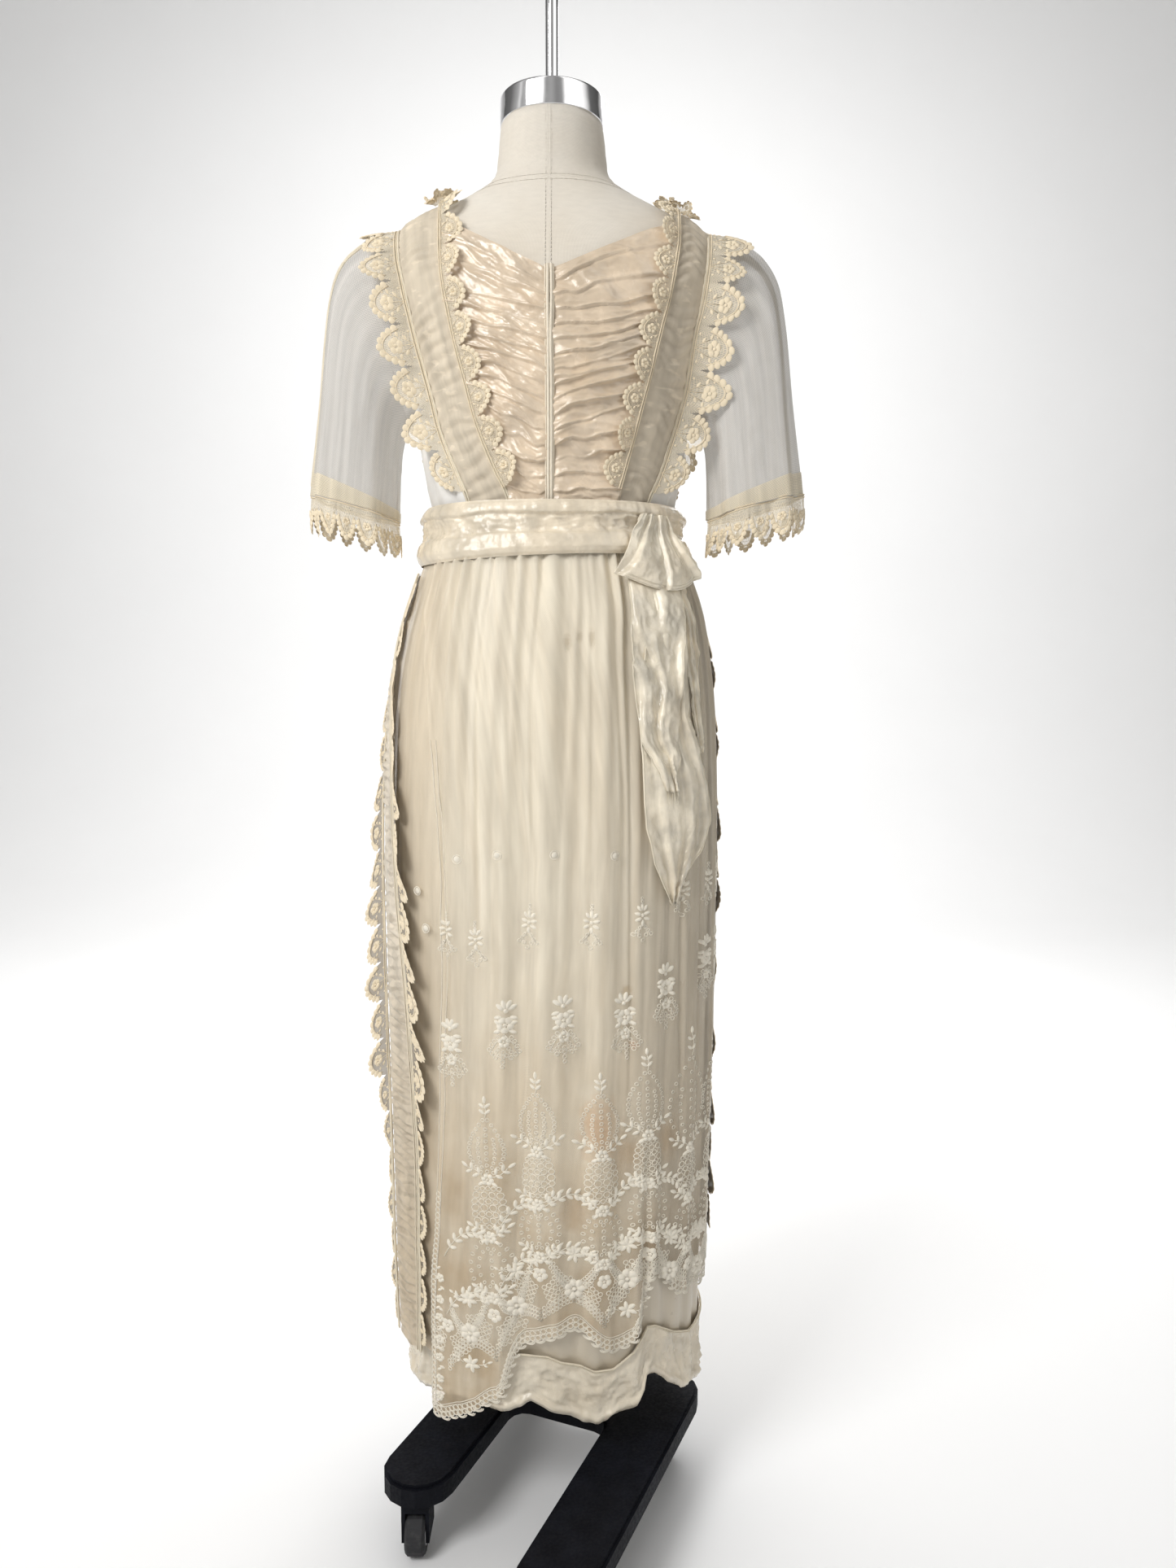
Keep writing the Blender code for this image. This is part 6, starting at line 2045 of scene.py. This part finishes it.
# Brightness of the room that polished metal mirrors, by the direction it is seen in
ROOM_BANDS = (
    # degrees round from the camera, brightness
    (-180, 0.30), (-130, 0.10), (-100, 0.16), (-78, 0.45), (-72, 0.85), (-66, 0.40), (-40, 0.55),
    (-34, 1.70), (-20, 1.60), (-14, 0.30), (0, 0.42), (12, 0.26), (24, 0.34), (32, 1.45), (62, 1.60),
    (80, 0.90), (92, 0.14), (130, 0.07), (165, 0.20), (180, 0.30),
)
DAYLIGHT = 0.40
PAPER_WHITE = 0.96
LAMPS = (
    # name, place from the pole, size, watts, what it is aimed at
    ("key", (-1.45, -1.75, 2.35), 1.1, 50.0, (0.0, 0.0, 0.85)),
    ("fill", (1.9, -1.9, 1.2), 1.6, 3.0, (0.0, 0.0, 0.8)),
    ("back", (0.6, 2.1, 2.2), 1.4, 16.0, (0.0, 0.0, 1.1)),
    ("backdrop", (0.0, 1.6, 3.4), 3.0, 130.0, (0.0, 4.4, 0.9)),
)


def make_room():
    """White room: even daylight, plain white for the camera, and bands for polished metal."""
    world = bpy.context.scene.world or bpy.data.worlds.new("studio")
    bpy.context.scene.world = world
    world.use_nodes = True
    room = Nodes(world.node_tree)
    light = room.tree.nodes["Background"]
    light.inputs["Color"].default_value = (1.0, 0.99, 0.97, 1.0)
    way = room.node("SeparateXYZ", {0: room.node("TexCoord").outputs["Generated"]}).outputs
    turn = room.maths("ARCTAN2", way["X"], room.maths("MULTIPLY", way["Y"], -1.0))
    share = room.maths("ADD", room.maths("DIVIDE", turn, 2 * math.pi), 0.5)
    ramp = room.node("FloatCurve", {"Value": share})
    curve = ramp.mapping.curves[0]
    ramp.mapping.extend = "HORIZONTAL"
    brightest = max(value for _, value in ROOM_BANDS)
    for degrees, value in ROOM_BANDS[1:-1]:
        curve.points.new(degrees / 360 + 0.5, value / brightest)
    curve.points[0].location = (0.0, ROOM_BANDS[0][1] / brightest)
    curve.points[-1].location = (1.0, ROOM_BANDS[-1][1] / brightest)
    for point in curve.points:
        point.handle_type = "VECTOR"
    ramp.mapping.update()
    bands = room.maths("MULTIPLY", ramp.outputs[0], brightest)
    path = room.node("LightPath").outputs
    glossy = room.maths("MULTIPLY", path["Is Glossy Ray"], room.maths("SUBTRACT", bands, DAYLIGHT))
    plain = room.maths("MULTIPLY", path["Is Camera Ray"], PAPER_WHITE - DAYLIGHT)
    strength = room.maths("ADD", room.maths("ADD", glossy, plain), DAYLIGHT)
    room.tree.links.new(strength, light.inputs["Strength"])


def make_studio():
    """Plain pale floor that curves up behind, soft light and the photograph's camera."""
    half, back, rise, top = 7.0, 3.0, 2.2, 6.0
    turn = np.linspace(0, math.pi / 2, 17)
    curve = zip(back + rise * np.sin(turn), rise * (1 - np.cos(turn)))
    profile = [(-half, 0.0), *curve, (back + rise, top)]
    points = np.array([[(x, y, z) for x in (-half, half)] for y, z in profile])
    pale = Finish("floor_paper", (0.86, 0.86, 0.86), 0.9)
    pale.link("Base Color", pale.mix(pale.blotches(0.5), (0.85, 0.85, 0.85, 1), (0.88, 0.88, 0.88, 1)))
    sheet_mesh("floor", points, pale.material)
    for name, place, size, watts, aim in LAMPS:
        light = bpy.data.lights.new(name, "AREA")
        light.size, light.energy = size, watts
        lamp = show(name, light)
        lamp.location = np.array(place) + PLACE
        x, y, z = np.array(aim) - np.array(place)
        lamp.rotation_euler = (
            math.pi / 2 + math.atan2(z, math.hypot(x, y)), 0, math.atan2(y, x) - math.pi / 2)
    make_room()
    camera = show("camera", bpy.data.cameras.new("camera"))
    camera.data.lens, camera.data.sensor_width = CAMERA_LENS, SENSOR
    camera.location = np.array(CAMERA_PLACE) + PLACE
    camera.rotation_euler = (math.pi / 2 - CAMERA_DOWN, 0, 0)
    bpy.context.scene.camera = camera
    bpy.context.scene.view_settings.view_transform = "Standard"


# Painted shade on the overskirt's net: a brown for its lower part, its streaks and its left edge, and a
# darker one for its right side
PAINTED_SHADE_BROWN = (0.66, 0.52, 0.35, 1.0)
SHADED_BROWN = (0.46, 0.39, 0.30, 1.0)
UNDERLAYER = (0.56, 0.49, 0.38, 1.0)
STAINS = (
    # angle, z, width, height, colour, strength
    (4.3, 1.004, 0.005, 0.010, (0.42, 0.33, 0.22), 0.55),
    (8.0, 1.010, 0.004, 0.007, (0.42, 0.33, 0.22), 0.45),
    (12.1, 1.008, 0.004, 0.011, (0.42, 0.33, 0.22), 0.50),
    (15.0, 0.478, 0.022, 0.038, (0.70, 0.42, 0.22), 0.60),
    (25.7, 0.445, 0.022, 0.026, (0.48, 0.32, 0.17), 0.55),
    (43.1, 0.455, 0.016, 0.030, (0.46, 0.31, 0.17), 0.55),
    (-15.4, 0.435, 0.020, 0.040, (0.52, 0.38, 0.22), 0.45),
    (7.3, 0.386, 0.016, 0.026, (0.50, 0.34, 0.19), 0.55),
    (-31.5, 0.391, 0.018, 0.036, (0.54, 0.41, 0.26), 0.45),
    (35.6, 0.337, 0.014, 0.024, (0.46, 0.32, 0.18), 0.55),
    (24.9, 0.629, 0.006, 0.007, (0.50, 0.36, 0.20), 0.60),
    (27.6, 0.568, 0.006, 0.006, (0.50, 0.24, 0.12), 0.60),
)


def skirt_net_finish():
    """Net of the overskirt, with browns painted as shade towards its hem, in upright streaks and at its
    left and right edges, and a few stains.
    """
    f = net_finish("skirt_net", (0.94, 0.86, 0.71), 0.72, 0.44, 0.0009)
    place = f.node("SeparateXYZ", {0: f.place})
    # Painted shade: browner towards the hem, in patches
    low = f.spread(place.outputs["Z"], 0.26, 0.74, 1.0, 0.0)
    patchy = f.spread(f.blotches(0.055, 4.0), 0.36, 0.62, 0.40, 1.0)
    tone = f.mix(f.maths("MULTIPLY", low, patchy), f.tone, PAINTED_SHADE_BROWN)
    # Painted shade: upright streaks of brown as shade in the folds
    fold_shade_streaks = f.spread(f.blotches(0.020, 3.0, f.turned(0, (1.0, 0.05, 1.0))), 0.50, 0.72, 0.0, 0.30)
    tone = f.mix(fold_shade_streaks, tone, PAINTED_SHADE_BROWN)
    tone = f.mix(f.spread(place.outputs["X"], 0.05, 0.13, 0.0, 0.60), tone, SHADED_BROWN)
    # Painted shade: browner towards the left edge
    tone = f.mix(f.spread(place.outputs["X"], -0.145, -0.095, 0.50, 0.0), tone, PAINTED_SHADE_BROWN)
    for angle, z, width, height, colour, strength in STAINS:
        centre = over_surface(np.array(angle), np.array(z), 0.0) + PLACE
        tone = f.stain(tone, centre, (width, 0.03, height), colour, strength)
    f.link("Base Color", tone)
    return f.material


def strip_net_finish():
    """Net of the ruched strips, which has gone brown lower down, with shade painted dark in the valleys
    of its ruches.
    """
    f = net_finish("strip_net", (0.72, 0.64, 0.52), 1.0, 0.94, 0.0010, 0.010)
    place = f.node("SeparateXYZ", {0: f.place})
    low = f.spread(place.outputs["Z"], 0.34, 0.66, 0.75, 0.0)
    tone = f.mix(low, f.tone, (0.54, 0.44, 0.31, 1.0))
    patchy = f.spread(f.blotches(0.018, 2.0), 0.35, 0.62, 0.0, 0.60)
    # Painted shade: dark bars in the valleys of the ruches, in patches
    valley_shade_bars = f.spread(f.bands(0.0135, f.cloth, "Y", 6.0, 1.2), 0.10, 0.45, 1.0, 0.0)
    ruches = f.maths("MULTIPLY", valley_shade_bars, patchy)
    f.link("Base Color", f.mix(ruches, tone, (0.37, 0.31, 0.23, 1.0)))
    return f.material


def underskirt_finish():
    """Satin under the net, and the dull beige underlayer that shows below it."""
    f = satin_finish("under_satin", (0.93, 0.86, 0.72), 0.30, 0.92)
    place = f.node("SeparateXYZ", {0: f.place})
    low = f.spread(place.outputs["Z"], 0.27, 0.40, 0.95, 0.0)
    f.link("Base Color", f.mix(low, f.tone, UNDERLAYER))
    return f.material


LINEN = linen_finish()
CHROME = chrome_finish()
IRON = iron_finish()
RUBBER = rubber_finish()
STEEL = steel_finish()
SATIN_CLOTH = satin_finish("champagne_satin", (0.76, 0.62, 0.46), 0.21, 0.80, 0.0014).material
SASH_CLOTH = satin_finish("sash_satin", (0.83, 0.73, 0.57), 0.21, 0.76, 0.0020).material
# Painted highlight: the sash's satin made lighter for the bow and the sash ends, a lit copy of one
# material
LIT_SASH_CLOTH = satin_finish("lit_sash_satin", (0.95, 0.86, 0.69), 0.18, 0.68, 0.0022).material
HEM_CLOTH = satin_finish("hem_satin", (0.76, 0.68, 0.54), 0.25, 0.86, 0.0016).material
UNDER_CLOTH = underskirt_finish()
SILK = satin_finish("ivory_silk", (0.82, 0.80, 0.76), 0.45, 0.9).material
BAND_NET = net_finish("band_net", (0.66, 0.575, 0.45), 1.0, 0.90, 0.0010, 0.010).material
STRIP_NET = strip_net_finish()
SKIRT_NET = skirt_net_finish()
SLEEVE_NET = net_finish("sleeve_net", (0.66, 0.63, 0.585), 0.85, 0.42, 0.0012).material
LACE_NET = net_finish("lace_net", (0.80, 0.71, 0.55), 0.80, 0.28, 0.0013).material
STRIP_LACE_NET = net_finish("strip_lace_net", (0.36, 0.315, 0.255), 1.0, 0.86, 0.0013).material
LACE_THREAD = thread_finish("ecru_thread", (0.93, 0.80, 0.59)).material
HEM_TAPE = net_finish("hem_tape", (0.80, 0.71, 0.54), 0.9, 0.42, 0.0011).material
TAPE = thread_finish("ecru_tape", (0.86, 0.77, 0.60)).material
CORD = thread_finish("closing_cord", (0.88, 0.79, 0.64), 0.5).material
COTTON = thread_finish("cotton_thread", (0.80, 0.745, 0.655)).material
SILK_THREAD = thread_finish("silk_thread", (0.86, 0.78, 0.62), 0.5).material
EMBROIDERY = thread_finish("embroidery_thread", (0.94, 0.875, 0.745), 0.6).material

make_studio()
make_linen_form()
make_form_stitches()
make_cap_and_pole()
make_back_panels()
make_closing()
make_bands()
make_front()
make_sides()
make_shoulder_laces()
make_neck_laces()
make_shoulder_frills()
make_sleeves()
make_cuffs()
make_belt()
make_bow()
make_tails()
make_underskirt()
make_hem()
make_overskirts()
make_embroidery()
make_robings()
finish_stand()

bpy.context.view_layer.update()
